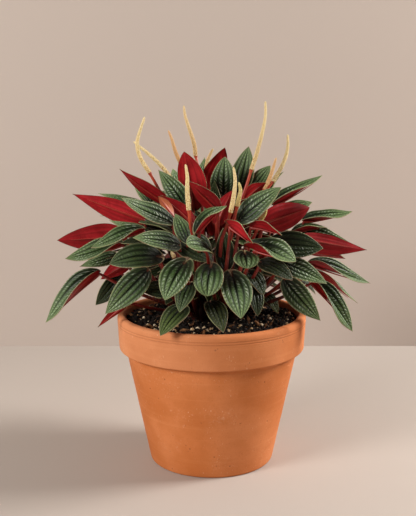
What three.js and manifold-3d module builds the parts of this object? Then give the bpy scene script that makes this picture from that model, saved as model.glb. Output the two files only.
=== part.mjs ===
// Ripple-leaf peperomia in a plain terracotta pot.
// Millimetres, +Z up. The origin is the middle of the pot's foot, in the plane that it stands on.

import * as THREE from 'three';
import { mergeVertices } from 'three/addons/utils/BufferGeometryUtils.js';
import Module from 'manifold-3d';

const wasm = await Module();
wasm.setup();

// ---------------------------------------------------------------- driving dimensions

const POT = {
  height: 104,
  rimRadius: 65,         // outside of the band, at its top
  bandFootRadius: 63.8,
  bandFootHeight: 80,
  neckRadius: 59.4,      // outside of the wall, just under the band
  footRadius: 42.7,
  footRound: 1.6,
  crestRadius: 62,       // where the lip is highest
  lipRadius: 59.1,       // inside of the lip
  lipDrop: 3.4,
  wellRadius: 38,        // inside, at the floor
  floorThickness: 8,
  drainRadius: 6,
};
const ROUND_SIDES = 36;
const CLEARANCE = 0.3;   // between pieces that touch

const SOIL = {
  level: 100,
  relief: 1.1,           // how far the surface rises and falls
  edgeDrop: 1.2,         // how far below that level it meets the pot
  rings: [50, 39, 26, 13, 0],
  crumbs: 26,
  crumbSize: [1.1, 2.5],
  crumbReach: 54,
  crumbSunk: 0.1,        // of its size, from its middle
};

const CROWN = {          // the short thick stem that a shoot's leaves grow from
  sides: 8,
  stemRadius: 5.4,
  headRadius: 5.5,
  headStretch: 1.5,
  headHeight: 107,
  rootReach: 2.8,        // how far out and up on the head the stalks start
  rootSpread: 4.5,
  lowestLeaf: 115,
  leafRange: 70,
  depth: 15,             // how far it stands in the soil
};
const PETIOLE = { radius: 1.2, steps: 3, bow: 0.07 };
const STALK = { radius: 1.05, sides: 4, steps: 4 };
const SPIKE = { foot: 1.5, tip: 0.7, sides: 6, step: 4, grain: 0.09 };

const BLADE = {
  thickness: 0.75,
  stations: [-1, -0.52, 0, 0.52, 1],     // across: edge, ridge, sunken midrib, ridge, edge
  rings: [0.12, 0.42, 0.76],             // along, between the base and the tip
  riseTowardsBase: 0.55,                 // powers that shape the outline
  fallTowardsTip: 0.85,
  fold: 13,                              // degrees that each half is raised
  foldEase: 1.0,                         // how a stronger fold at the base eases off towards the tip
  ridge: 0.11,                           // height of a ridge, in half-widths
  lobe: 0.36,                            // how far the heart's lobes reach back, in widths
};

// ---------------------------------------------------------------- where things grow
// A leaf is [base of the blade, tip of the blade, width, roll in degrees, arch], and where it is
// folded like a boat also [fold at the base in degrees, twist from base to tip in degrees].
// At roll 0 its upper face looks up, or inwards where it stands upright.
// A flower is its stalk's points and then its spike's points, from the foot up.

const SHOOTS = {
  left: {
    azimuth: 180,
    leaves: [
      [[-44, -28, 171], [-89, -33, 189], 15, 105, 1],
      [[-47, 14, 176], [-79, 18, 184], 12, -15, 0],
      [[-58, -12, 158], [-103, -14, 156], 21, 80, 1],
      [[-58, -29, 156], [-95, -33, 147], 17, -22, -1, 58, -45],
      [[-63, -14, 146], [-88, -18, 139], 10, -65, 0],
      [[-75, -20, 135], [-110, -27, 103], 23, -26, 1, 72, 8],
      [[-63, 8, 129], [-81, 6, 107], 14, -105, 2],
      [[-55, -28, 117], [-75, -32, 101], 8, 60, 1],
      [[-56, 4, 150], [-90, 8, 141], 16, 0, 3],
      [[-56, 0, 139], [-76, -2, 127], 11, 90, 1],
      [[-44, 3, 166], [-76, 3, 170], 14, 0, 2],
    ],
    flowers: [],
  },
  front_left: {
    azimuth: 232,
    leaves: [
      [[-24, -48, 172], [-55, -62, 190], 17, -50, -2, 30, -10],
      [[-43, -47, 168], [-75, -56, 158], 16, -12, 0, 50, -25],
      [[-40, -36, 164], [-65, -40, 173], 11, -35, -1],
      [[-20, -64, 161], [-47, -79, 168], 15, -55, 1],
      [[-34, -54, 152], [-63, -62, 149], 19, -45, 3],
      [[-41, -42, 141], [-68, -48, 114], 18, -65, 2],
      [[-17, -72, 151], [-28, -87, 132], 20, -10, 3],
      [[-14, -54, 135], [-20, -68, 120], 13, -10, 3],
      [[-17, -50, 119], [-32, -68, 105], 15, -15, 2],
      [[-15, -60, 162], [-23, -46, 178], 11, -45, 1],
      [[-8, -70, 171], [9, -62, 185], 15, 28, 1, 58, 0],
      [[-20, -51, 161], [-1, -63, 151], 22, 22, 2],
      [[-28, -36, 126], [-45, -42, 128], 13, -60, 2],
      [[-25, -34, 175], [-34, -37, 188], 8, 60, 1, 60, 0],
    ],
    flowers: [
      [
        [[-11, -60, 162], [-13, -66, 173]],
        [[-14, -68, 183], [-15, -66, 194], [-15, -64, 203], [-16, -64, 210]],
      ],
      [
        [[-22, -36, 143]],
        [[-24, -40, 149], [-25, -40, 151], [-26, -40, 153]],
      ],
    ],
  },
  front_right: {
    azimuth: 288,
    leaves: [
      [[-1, -74, 149], [-3, -85, 134], 19, 0, 3],
      [[-1, -46, 121], [7, -64, 106], 14, 5, 3],
      [[12, -70, 143], [17, -88, 121], 20, 5, 3],
      [[20, -68, 156], [21, -77, 149], 16, 0, 1, 8, 0],
      [[26, -40, 130], [29, -50, 113], 11, 5, 2],
      [[24, -35, 138], [33, -44, 125], 13, 10, 2],
      [[31, -46, 147], [50, -58, 138], 14, 30, 2],
      [[26, -62, 158], [50, -76, 153], 23, 18, 0, 72, -4],
      [[17, -58, 175], [42, -60, 196], 17, 70, 1],
      [[24, -60, 172], [42, -70, 168], 13, -34, 1, 34, 0],
      [[11, -72, 174], [24, -82, 165], 15, -46, 0, 36, 0],
      [[-3, -78, 160], [-15, -86, 165], 17, -34, 1, 24, 0],
      [[9, -50, 143], [7, -46, 169], 13, 180, -2],
    ],
    flowers: [
      [
        [[6, -56, 163], [9, -62, 173]],
        [[11, -64, 181], [13, -62, 190], [14, -60, 200], [13, -60, 208]],
      ],
      [
        [[14, -38, 174]],
        [[16, -40, 182], [17, -40, 187], [18, -40, 192], [17, -40, 197]],
      ],
      [
        [[27, -44, 164]],
        [[29, -48, 171], [31, -48, 175], [33, -48, 178], [34, -48, 181]],
      ],
    ],
  },
  right: {
    azimuth: 345,
    leaves: [
      [[47, -36, 134], [70, -42, 108], 16, 70, 2],
      [[67, -18, 128], [94, -24, 96], 19, 15, 1, 66, 45],
      [[45, -46, 147], [72, -54, 135], 14, 50, 2],
      [[37, -43, 158], [70, -46, 156], 19, 55, 1],
      [[57, -22, 158], [103, -17, 150], 15, -115, 0],
      [[66, -10, 140], [110, 4, 123], 17, 15, -1, 68, 50],
      [[71, 8, 131], [103, 12, 107], 14, -4, 0, 44, 15],
      [[32, -43, 171], [61, -47, 182], 18, -95, 2],
      [[62, -6, 168], [95, -3, 174], 16, 10, -1, 48, 20],
      [[41, -14, 180], [73, -11, 199], 17, 10, -1, 50, 15],
      [[46, 14, 171], [70, 16, 178], 15, 32, 0],
      [[54, -12, 161], [77, -10, 164], 12, 0, 1, 42, 0],
      [[67, 26, 143], [96, 28, 136], 12, -45, 0],
      [[56, -8, 163], [94, -8, 153], 14, 60, 0],
      [[35, -4, 117], [45, -10, 105], 10, 30, 2],
      [[58, 4, 150], [92, 10, 140], 16, 0, 3],
      [[48, 14, 130], [74, 18, 112], 16, 20, 3],
      [[44, 10, 164], [78, 20, 167], 14, 0, 2],
    ],
    flowers: [],
  },
  back_right: {
    azimuth: 55,
    leaves: [
      [[20, 34, 176], [27, 48, 201], 15, 10, 0],
    ],
    flowers: [],
  },
  back_left: {
    azimuth: 115,
    leaves: [
      [[-6, 37, 180], [-5, 49, 207], 12, 0, 1],
      [[-24, 34, 176], [-28, 45, 199], 13, 0, 2],
      [[-43, 34, 173], [-55, 38, 186], 11, -20, 2],
    ],
    flowers: [],
  },
  centre: {
    azimuth: null,
    leaves: [
      [[-28, -14, 180], [-60, -20, 204], 14, 40, -1],
      [[-16, -22, 178], [-35, -16, 203], 14, -90, 1],
      [[-12, -8, 179], [-18, -17, 215], 22, 20, 1],
      [[-2, 24, 184], [9, 12, 216], 18, -80, 1],
      [[4, -46, 180], [-14, -54, 199], 13, 20, 0],
      [[8, 4, 182], [9, 8, 210], 19, 30, 0],
      [[19, 20, 185], [26, 26, 216], 17, 30, 0],
      [[28, 18, 185], [41, 22, 203], 13, 40, 0],
      [[22, -6, 182], [36, -8, 194], 10, -60, 2],
      [[-12, -30, 169], [-33, -30, 188], 11, 60, 2],
      [[34, 10, 177], [50, 18, 199], 13, 0, 2],
      [[-30, 12, 173], [-43, 18, 190], 13, 0, 2],
      [[3, -28, 169], [13, -30, 191], 13, -45, 1],
      [[2, -2, 166], [2, 4, 194], 14, 0, 0],
    ],
    flowers: [
      [
        [[-30, -12, 179], [-36, -14, 192]],
        [[-41, -14, 201], [-47, -13, 211], [-49, -12, 220], [-44, -12, 237]],
      ],
      [
        [[-24, 10, 187]],
        [[-28, 10, 195], [-33, 10, 202], [-41, 10, 210], [-53, 10, 220]],
      ],
      [
        [[-16, 22, 192]],
        [[-21, 24, 203], [-25, 24, 212], [-28, 24, 222], [-30, 24, 227]],
      ],
      [
        [[-9, 14, 201]],
        [[-11, 16, 210], [-12, 16, 218], [-18, 16, 237], [-19, 16, 244]],
      ],
      [
        [[-4, 29, 188]],
        [[-4, 31, 198], [-3, 31, 205], [-1, 31, 210], [1, 31, 214]],
      ],
      [
        [[19, -14, 181], [23, -14, 193]],
        [[26, -14, 203], [30, -12, 215], [35, -10, 237], [35, -10, 247]],
      ],
      [
        [[36, -4, 187]],
        [[41, -2, 194], [48, 0, 206], [51, 2, 216], [51, 2, 225]],
      ],
      [
        [[33, 4, 180]],
        [[36, 6, 188], [39, 8, 194], [42, 10, 202], [44, 10, 209]],
      ],
    ],
  },
};
const CROWN_RING = 15;   // the outer crowns stand on a circle of this radius

// The far side is filled by rule: tiers of leaves spread evenly from one azimuth to another.
const FAR_TIERS = [
  { count: 6, from: 40, to: 148, base: [46, 120], tip: [70, 107], width: 15 },
  { count: 7, from: 34, to: 150, base: [62, 137], tip: [88, 112], width: 17 },
  { count: 8, from: 22, to: 162, base: [56, 155], tip: [89, 148], width: 17 },
  { count: 6, from: 48, to: 132, base: [42, 170], tip: [74, 182], width: 16 },
];

// ---------------------------------------------------------------- helpers

function seededRandom(seed) {
  let state = seed;
  return () => {
    state = (state * 1664525 + 1013904223) % 4294967296;
    return state / 4294967296;
  };
}

function solidOf(geometry) {
  const bare = geometry.clone();
  bare.deleteAttribute('normal');
  bare.deleteAttribute('uv');
  const merged = mergeVertices(bare, 1e-4);
  const mesh = new wasm.Mesh({
    numProp: 3,
    vertProperties: new Float32Array(merged.attributes.position.array),
    triVerts: new Uint32Array(merged.index.array),
  });
  return new wasm.Manifold(mesh);
}

function geometryOf(solid) {
  const mesh = solid.getMesh();
  const geometry = new THREE.BufferGeometry();
  geometry.setAttribute('position', new THREE.BufferAttribute(new Float32Array(mesh.vertProperties), 3));
  geometry.setIndex(new THREE.BufferAttribute(new Uint32Array(mesh.triVerts), 1));
  geometry.computeVertexNormals();
  return geometry;
}

function fuse(solids) {
  return solids.reduce((whole, piece) => whole.add(piece));
}

function vector(point) {
  return new THREE.Vector3(...point);
}

// ---------------------------------------------------------------- pot and soil

function innerRadiusAt(z) {
  const along = (z - POT.floorThickness) / (POT.height - POT.lipDrop - POT.floorThickness);
  return POT.wellRadius + (POT.lipRadius - POT.wellRadius) * along;
}

function potGeometry() {
  const p = POT;
  const profile = new THREE.Path();
  profile.moveTo(p.drainRadius, 0);
  profile.lineTo(p.footRadius - p.footRound, 0);
  profile.quadraticCurveTo(p.footRadius, 0, p.footRadius + 0.4, p.footRound);
  profile.lineTo(p.neckRadius, p.bandFootHeight + 0.6);
  profile.lineTo(p.bandFootRadius - 1, p.bandFootHeight);
  profile.quadraticCurveTo(p.bandFootRadius, p.bandFootHeight, p.bandFootRadius + 0.05, p.bandFootHeight + 1);
  profile.lineTo(p.rimRadius, p.height - p.lipDrop);
  profile.quadraticCurveTo(p.rimRadius, p.height, p.crestRadius, p.height);
  profile.quadraticCurveTo(p.lipRadius, p.height, p.lipRadius, p.height - p.lipDrop);
  profile.lineTo(p.wellRadius, p.floorThickness);
  profile.lineTo(p.drainRadius, p.floorThickness);
  profile.lineTo(p.drainRadius, 0);
  return new THREE.LatheGeometry(profile.getPoints(2), ROUND_SIDES).rotateX(Math.PI / 2);
}

function crownPlace(azimuth) {
  if (azimuth === null) return new THREE.Vector3(0, 0, 0);
  const angle = THREE.MathUtils.degToRad(azimuth);
  return new THREE.Vector3(CROWN_RING * Math.cos(angle), CROWN_RING * Math.sin(angle), 0);
}

// Uneven surface of the potting mix: low broad waves, level where it meets the pot.
function soilHeight(x, y) {
  const waves = Math.sin(x * 0.12 + 1.3) * Math.cos(y * 0.1 - 0.4) + 0.5 * Math.sin(x * 0.19 - y * 0.17);
  return SOIL.level + SOIL.relief * waves;
}

function soilBody() {
  const bottom = POT.floorThickness + CLEARANCE;
  const gap = CLEARANCE * 1.1;
  const edge = SOIL.level - SOIL.edgeDrop;
  const profile = [
    new THREE.Vector2(0, bottom),
    new THREE.Vector2(innerRadiusAt(bottom) - gap, bottom),
    new THREE.Vector2(innerRadiusAt(edge) - gap, edge),
    ...SOIL.rings.map((radius) => new THREE.Vector2(radius, SOIL.level)),
  ];
  const geometry = new THREE.LatheGeometry(profile, ROUND_SIDES).rotateX(Math.PI / 2);
  const position = geometry.attributes.position;
  for (let i = 0; i < position.count; i++) {
    if (position.getZ(i) > SOIL.level - 0.01) {
      position.setZ(i, soilHeight(position.getX(i), position.getY(i)));
    }
  }
  return solidOf(geometry);
}

function stemHole(place) {
  const radius = CROWN.stemRadius + CLEARANCE * 1.2;
  const bottom = SOIL.level - CROWN.depth - CLEARANCE;
  const height = 30;
  const hole = new THREE.CylinderGeometry(radius, radius, height, CROWN.sides).rotateX(Math.PI / 2);
  return solidOf(hole.translate(place.x, place.y, bottom + height / 2));
}

// Crumbs of bark and clods, about half sunk into the surface and kept off the stems.
function soilCrumbs(places) {
  const random = seededRandom(7);
  const crumbs = [];
  while (crumbs.length < SOIL.crumbs) {
    const angle = random() * 2 * Math.PI;
    const reach = SOIL.crumbReach * Math.sqrt(random());
    const size = THREE.MathUtils.lerp(...SOIL.crumbSize, random() ** 2);
    const x = reach * Math.cos(angle);
    const y = reach * Math.sin(angle);
    const turn = random() * Math.PI;
    const flat = 0.6 + 0.35 * random();
    const clear = places.every((place) => Math.hypot(x - place.x, y - place.y) > CROWN.headRadius + size + 1);
    if (!clear) continue;
    const crumb = new THREE.OctahedronGeometry(size).scale(1.2, 0.8, flat).rotateZ(turn).rotateX(turn / 5);
    crumbs.push(solidOf(crumb.translate(x, y, soilHeight(x, y) - SOIL.crumbSunk * size)));
  }
  return crumbs;
}

function soilGeometry(places) {
  let soil = fuse([soilBody(), ...soilCrumbs(places)]);
  for (const place of places) soil = soil.subtract(stemHole(place));
  return geometryOf(soil);
}

// ---------------------------------------------------------------- shoots

function crownSolid(place) {
  const bottom = SOIL.level - CROWN.depth;
  const height = CROWN.headHeight - bottom;
  const stem = new THREE.CylinderGeometry(CROWN.stemRadius, CROWN.stemRadius, height, CROWN.sides);
  const head = new THREE.SphereGeometry(CROWN.headRadius, CROWN.sides, 4).scale(1, CROWN.headStretch, 1);
  return solidOf(stem.rotateX(Math.PI / 2).translate(place.x, place.y, bottom + height / 2))
    .add(solidOf(head.rotateX(Math.PI / 2).translate(place.x, place.y, CROWN.headHeight)));
}

function tube(curve, radius, sides, steps) {
  const section = new THREE.Shape();
  for (let i = 0; i < sides; i++) {
    const angle = (2 * Math.PI * i) / sides;
    const x = radius * Math.cos(angle);
    const y = radius * Math.sin(angle);
    if (i === 0) section.moveTo(x, y);
    else section.lineTo(x, y);
  }
  section.closePath();
  return new THREE.ExtrudeGeometry(section, { steps, bevelEnabled: false, extrudePath: curve });
}

// The blade's own frame: its midrib's curve, the way that its upper face looks, and its side.
function bladeFrame(base, tip, roll, arch) {
  const along = tip.clone().sub(base).normalize();
  const middle = base.clone().add(tip).multiplyScalar(0.5);
  const outwards = new THREE.Vector3(middle.x, middle.y, 0).normalize();
  const up = new THREE.Vector3(0, 0, 1).addScaledVector(outwards, -0.5 * along.z);
  up.addScaledVector(along, -up.dot(along)).normalize();
  up.applyAxisAngle(along, THREE.MathUtils.degToRad(roll));
  const control = middle.addScaledVector(up, 2 * arch);
  return { midrib: new THREE.QuadraticBezierCurve3(base, control, tip), up };
}

function halfWidth(u, width) {
  const { riseTowardsBase: rise, fallTowardsTip: fall } = BLADE;
  const widest = rise / (rise + fall);
  return (width / 2) * (u / widest) ** rise * ((1 - u) / (1 - widest)) ** fall;
}

// Where a stalk to the given point leaves the crown: low on its head for a low leaf, high for a
// high one, so that the stalks fan out and seldom cross.
function rootOn(place, target) {
  const rise = THREE.MathUtils.clamp((target[2] - CROWN.lowestLeaf) / CROWN.leafRange, 0, 1);
  const height = CROWN.headHeight + THREE.MathUtils.lerp(-CROWN.rootSpread, CROWN.rootSpread, rise);
  const outwards = new THREE.Vector3(target[0] - place.x, target[1] - place.y, 0).setLength(CROWN.rootReach);
  return new THREE.Vector3(place.x, place.y, height).add(outwards);
}

// Sections down the petiole, each a diamond of [left, top, right, bottom] points. The last one lies
// at the blade's base, turned halfway between the petiole's direction and the blade's.
function petioleSections(place, base, blade, bladeStart) {
  const root = rootOn(place, base);
  const foot = vector(base);
  const outwards = new THREE.Vector3(foot.x - place.x, foot.y - place.y, 0).normalize();
  const bend = root.clone().add(foot).multiplyScalar(0.5);
  bend.addScaledVector(outwards, 2 * PETIOLE.bow * root.distanceTo(foot));
  const curve = new THREE.QuadraticBezierCurve3(root, bend, foot);
  const turn = new THREE.Quaternion();
  let tangent = blade.getTangent(0);
  const normal = bladeStart.normal.clone();
  const sections = [];
  for (let i = PETIOLE.steps; i >= 0; i--) {
    const next = curve.getTangent(i / PETIOLE.steps);
    if (i === PETIOLE.steps) next.add(tangent).normalize();
    normal.applyQuaternion(turn.setFromUnitVectors(tangent, next));
    tangent = next;
    const side = tangent.clone().cross(normal);
    const point = curve.getPoint(i / PETIOLE.steps);
    const reaches = [[side, -1], [normal, 1], [side, 1], [normal, -1]];
    sections.unshift(reaches.map(([way, sign]) => point.clone().addScaledVector(way, sign * PETIOLE.radius)));
  }
  return sections;
}

// Sections down the blade, each a loop of points: the upper face from left to right, then the
// lower face back again.
function bladeSections(frameAt, length, width, foldAtBase) {
  const lobe = BLADE.lobe * width * THREE.MathUtils.clamp((2.1 - length / width) / 0.7, 0.25, 1);
  return BLADE.rings.map((u) => {
    const { point, normal, side, tangent } = frameAt(u);
    const w = halfWidth(u, width);
    const fold = THREE.MathUtils.degToRad(BLADE.fold + (foldAtBase - BLADE.fold) * (1 - u) ** BLADE.foldEase);
    const face = (height) => BLADE.stations.map((v) => {
      const reach = Math.abs(v);
      const ridge = w * BLADE.ridge * (1 - Math.abs(2 * reach - 1));
      const facing = v === 0
        ? normal.clone().divideScalar(Math.cos(fold))
        : normal.clone().multiplyScalar(Math.cos(fold)).addScaledVector(side, -Math.sign(v) * Math.sin(fold));
      return point.clone()
        .addScaledVector(side, w * v * Math.cos(fold))
        .addScaledVector(normal, w * reach * Math.sin(fold))
        .addScaledVector(tangent, -lobe * reach ** 2 * (1 - u) ** 7)
        .addScaledVector(facing, ridge + height);
    });
    return [...face(BLADE.thickness / 2), ...face(-BLADE.thickness / 2).reverse()];
  });
}

// One leaf as a closed skin from the petiole's root to the blade's tip.
function leafSolid(place, [base, tip, width, roll, arch, fold = BLADE.fold, twist = 0]) {
  const { midrib, up } = bladeFrame(vector(base), vector(tip), roll, arch);
  const frameAt = (u) => {
    const tangent = midrib.getTangent(u);
    const normal = up.clone().addScaledVector(tangent, -up.dot(tangent)).normalize();
    normal.applyAxisAngle(tangent, THREE.MathUtils.degToRad(twist * u));
    return { point: midrib.getPoint(u), normal, side: tangent.clone().cross(normal), tangent };
  };
  const positions = [];
  const indices = [];
  const add = (points) => points.map((point) => {
    positions.push(...point.toArray());
    return positions.length / 3 - 1;
  });
  const petiole = petioleSections(place, base, midrib, frameAt(0)).map(add);
  const blade = bladeSections(frameAt, vector(base).distanceTo(vector(tip)), width, fold).map(add);
  const end = frameAt(1);
  const half = BLADE.thickness / 2;
  const [endTop, endBottom] = add([half, -half].map((h) => end.point.clone().addScaledVector(end.normal, h)));

  // Between two loops. A quad is split from its near corner, or across from its far one.
  const strip = (near, far, isAcross) => near.forEach((a, k) => {
    const next = (k + 1) % near.length;
    if (isAcross(k)) indices.push(a, near[next], far[k], near[next], far[next], far[k]);
    else indices.push(a, near[next], far[next], a, far[next], far[k]);
  });
  for (let i = 0; i + 1 < petiole.length; i++) strip(petiole[i], petiole[i + 1], () => false);
  // The quads of the upper face are 0 to 3 and those of the lower face 5 to 8, split alike.
  for (let i = 0; i + 1 < blade.length; i++) {
    strip(blade[i], blade[i + 1], (k) => [2, 3, 7, 8].includes(k));
  }
  const root = petiole[0];
  indices.push(root[0], root[2], root[1], root[0], root[3], root[2]);
  const [left, top, right, bottom] = petiole[petiole.length - 1];
  const first = blade[0];
  indices.push(left, top, first[1], top, right, first[3], right, bottom, first[6], bottom, left, first[8]);
  const bridge = [left, top, top, right, right, right, bottom, bottom, left, left];
  const last = blade[blade.length - 1];
  for (let k = 0; k < first.length; k++) {
    const next = (k + 1) % first.length;
    indices.push(bridge[k], first[next], first[k]);
    indices.push(last[k], last[next], k >= 4 && k < 9 ? endBottom : endTop);
  }
  indices.push(last[4], endBottom, endTop, last[9], endTop, endBottom);
  const geometry = new THREE.BufferGeometry();
  geometry.setAttribute('position', new THREE.BufferAttribute(new Float32Array(positions), 3));
  geometry.setIndex(indices);
  return solidOf(geometry);
}

// A stretch of a longer curve.
class Stretch extends THREE.Curve {
  constructor(whole, from, to) {
    super();
    Object.assign(this, { whole, from, to });
  }

  getPoint(t) {
    return this.whole.getPoint(THREE.MathUtils.lerp(this.from, this.to, t));
  }
}

// One smooth line carries a flower's stalk and then, past a small clearance, its spike.
function flowerLine(place, [stalk, spike]) {
  const points = [...stalk, ...spike].map(vector);
  const line = new THREE.CatmullRomCurve3([rootOn(place, stalk[0]), ...points]);
  const joint = (stalk.length + 1) / (stalk.length + spike.length);
  const nearby = 0.01;
  const speed = line.getPoint(joint).distanceTo(line.getPoint(joint + nearby)) / nearby;
  return {
    stalk: new Stretch(line, 0, joint),
    spike: new Stretch(line, joint + CLEARANCE / speed, 1),
  };
}

function shootGeometry(place, shoot) {
  return geometryOf(fuse([
    crownSolid(place),
    ...shoot.leaves.map((leaf) => leafSolid(place, leaf)),
    ...shoot.flowers.map((flower) => {
      const { stalk } = flowerLine(place, flower);
      return solidOf(tube(stalk, STALK.radius, STALK.sides, STALK.steps));
    }),
  ]));
}

// ---------------------------------------------------------------- flower spikes

// A slim tapering rod, its section turned by half a side from ring to ring and its girth uneven,
// so that it is grained all over as by packed florets.
function spikeGeometry(curve) {
  const rings = Math.max(3, Math.round(curve.getLength() / SPIKE.step));
  const frames = curve.computeFrenetFrames(rings, false);
  const positions = [];
  const indices = [];
  const addPoint = (point) => positions.push(...point.toArray());
  for (let i = 0; i <= rings; i++) {
    const along = i / rings;
    const centre = curve.getPointAt(along);
    const taper = THREE.MathUtils.lerp(SPIKE.foot, SPIKE.tip, along) * (i === rings ? 0.6 : 1);
    const radius = taper * (1 + (i % 2 ? SPIKE.grain : -SPIKE.grain));
    for (let j = 0; j < SPIKE.sides; j++) {
      const angle = ((j + (i % 2) / 2) / SPIKE.sides) * 2 * Math.PI;
      const point = centre.clone();
      point.addScaledVector(frames.normals[i], radius * Math.cos(angle));
      point.addScaledVector(frames.binormals[i], radius * Math.sin(angle));
      addPoint(point);
    }
  }
  const sides = SPIKE.sides;
  for (let i = 0; i < rings; i++) {
    const offset = i % 2;
    for (let j = 0; j < sides; j++) {
      const near = [i * sides + j, i * sides + ((j + 1) % sides)];
      const far = [(i + 1) * sides + j, (i + 1) * sides + ((j + 1) % sides)];
      if (offset) indices.push(near[0], near[1], far[1], near[0], far[1], far[0]);
      else indices.push(near[0], near[1], far[0], near[1], far[1], far[0]);
    }
  }
  addPoint(curve.getPointAt(0));
  addPoint(curve.getPointAt(1).addScaledVector(curve.getTangentAt(1), SPIKE.tip * 0.6));
  const footCentre = positions.length / 3 - 2;
  const tipCentre = footCentre + 1;
  const lastRing = rings * sides;
  for (let j = 0; j < sides; j++) {
    const next = (j + 1) % sides;
    indices.push(footCentre, next, j);
    indices.push(tipCentre, lastRing + j, lastRing + next);
  }
  const geometry = new THREE.BufferGeometry();
  geometry.setAttribute('position', new THREE.BufferAttribute(new Float32Array(positions), 3));
  geometry.setIndex(indices);
  geometry.computeVertexNormals();
  return geometry;
}

// ---------------------------------------------------------------- the plant put together

function addFarLeaves() {
  const random = seededRandom(21);
  const vary = (amount) => amount * (2 * random() - 1);
  for (const tier of FAR_TIERS) {
    for (let i = 0; i < tier.count; i++) {
      const azimuth = THREE.MathUtils.lerp(tier.from, tier.to, i / (tier.count - 1)) + vary(3);
      const lean = azimuth + vary(6);
      const at = (degrees, radius, z) => {
        const angle = THREE.MathUtils.degToRad(degrees);
        return [radius * Math.cos(angle), radius * Math.sin(angle), z];
      };
      const base = at(azimuth, tier.base[0] + vary(2), tier.base[1] + vary(2));
      const tip = at(lean, tier.tip[0] + vary(3), tier.tip[1] + vary(3));
      const leaf = [base, tip, tier.width + vary(1.5), vary(18), 2.5 + vary(1)];
      const shoot = azimuth < 90 ? SHOOTS.back_right : SHOOTS.back_left;
      shoot.leaves.push(leaf);
    }
  }
}

const TERRACOTTA = new THREE.MeshStandardMaterial({ color: 0xc4703f, roughness: 0.85, metalness: 0 });
const POTTING_MIX = new THREE.MeshStandardMaterial({ color: 0x2a201a, roughness: 0.95, metalness: 0 });
const FOLIAGE = new THREE.MeshStandardMaterial({ color: 0x5c7a55, roughness: 0.45, metalness: 0 });
const FLOWER = new THREE.MeshStandardMaterial({ color: 0xe3cf94, roughness: 0.7, metalness: 0 });

const group = new THREE.Group();

function addMesh(name, geometry, material) {
  const mesh = new THREE.Mesh(geometry, material.clone());
  mesh.name = name;
  group.add(mesh);
}

addFarLeaves();
const places = Object.values(SHOOTS).map((shoot) => crownPlace(shoot.azimuth));
addMesh('pot', potGeometry(), TERRACOTTA);
addMesh('soil', soilGeometry(places), POTTING_MIX);
let spikeNumber = 0;
for (const [name, shoot] of Object.entries(SHOOTS)) {
  const place = crownPlace(shoot.azimuth);
  addMesh(`shoot_${name}`, shootGeometry(place, shoot), FOLIAGE);
  for (const flower of shoot.flowers) {
    spikeNumber += 1;
    const { spike } = flowerLine(place, flower);
    addMesh(`flower_spike_${String(spikeNumber).padStart(2, '0')}`, spikeGeometry(spike), FLOWER);
  }
}

export default group;
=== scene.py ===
# A ripple-leaf peperomia in a plain terracotta pot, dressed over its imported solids.
# Metres, +Z up. The origin is the middle of the pot's foot, on the floor.

import math

import bpy
import numpy as np
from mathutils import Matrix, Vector, noise


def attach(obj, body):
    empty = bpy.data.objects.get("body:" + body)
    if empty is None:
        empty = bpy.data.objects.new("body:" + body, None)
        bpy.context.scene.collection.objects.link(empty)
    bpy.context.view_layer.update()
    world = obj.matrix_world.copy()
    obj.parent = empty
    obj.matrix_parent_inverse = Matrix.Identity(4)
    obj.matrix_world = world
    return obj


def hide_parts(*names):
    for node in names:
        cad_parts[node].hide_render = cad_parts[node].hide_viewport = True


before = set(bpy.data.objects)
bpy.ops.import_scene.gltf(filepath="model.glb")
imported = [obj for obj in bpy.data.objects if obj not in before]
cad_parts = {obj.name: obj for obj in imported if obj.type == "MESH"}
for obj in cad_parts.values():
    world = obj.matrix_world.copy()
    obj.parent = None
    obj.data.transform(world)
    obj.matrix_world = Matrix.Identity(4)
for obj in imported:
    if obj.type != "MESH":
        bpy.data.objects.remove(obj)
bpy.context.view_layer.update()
MM = 0.001


# ---------------------------------------------------------------- camera, floor and light
# The plant stands on a pale table top that ends at a plain wall behind it. A large soft light
# hangs in front at the upper left, a somewhat stronger one at the right, and the room fills in the rest.

CAMERA_PLACE = (-0.0025, -0.6, 0.25)
CAMERA_PITCH = 79.75          # degrees up from looking straight down
CAMERA_LENS = 62.1            # on a 36 mm sensor, set to the long side
WALL_BEHIND = 0.278
WALL_HEIGHT = 3.0
FLOOR_REACH = 4.0
LIGHT_SIZE = 0.4
LIGHT_COLOUR = (1, 0.98, 0.95)
LIGHT_AIM = (0, 0, 0.11)      # the heart of the plant
ROOM_COLOUR = "#d8d0c8"
ROOM_STRENGTH = 0.24


def paint(code):
    """A colour written as #rrggbb, as the linear values that a shader takes."""
    parts = [int(code[i:i + 2], 16) / 255 for i in (1, 3, 5)]
    return tuple(c / 12.92 if c <= 0.04045 else ((c + 0.055) / 1.055) ** 2.4 for c in parts) + (1,)


def feed(target, inputs):
    """Sets a node's inputs to values, or joins them to sockets or to other nodes' first outputs."""
    for key, value in inputs.items():
        if isinstance(value, bpy.types.Node):
            value = value.outputs[0]
        if isinstance(value, bpy.types.NodeSocket):
            target.id_data.links.new(value, target.inputs[key])
        else:
            target.inputs[key].default_value = value


def node(tree, kind, inputs=None, **settings):
    made = tree.nodes.new(kind)
    for name, value in settings.items():
        setattr(made, name, value)
    feed(made, inputs or {})
    return made


def finish_shader(name, inputs):
    """A new material and its shader."""
    material = bpy.data.materials.new(name)
    material.use_nodes = True
    shader = material.node_tree.nodes["Principled BSDF"]
    feed(shader, inputs)
    return material, shader


def linked(name, data):
    made = bpy.data.objects.new(name, data)
    bpy.context.scene.collection.objects.link(made)
    return made


def new_mesh(name, points, edges, faces):
    mesh = bpy.data.meshes.new(name)
    mesh.from_pydata(points, edges, faces)
    return mesh


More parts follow.
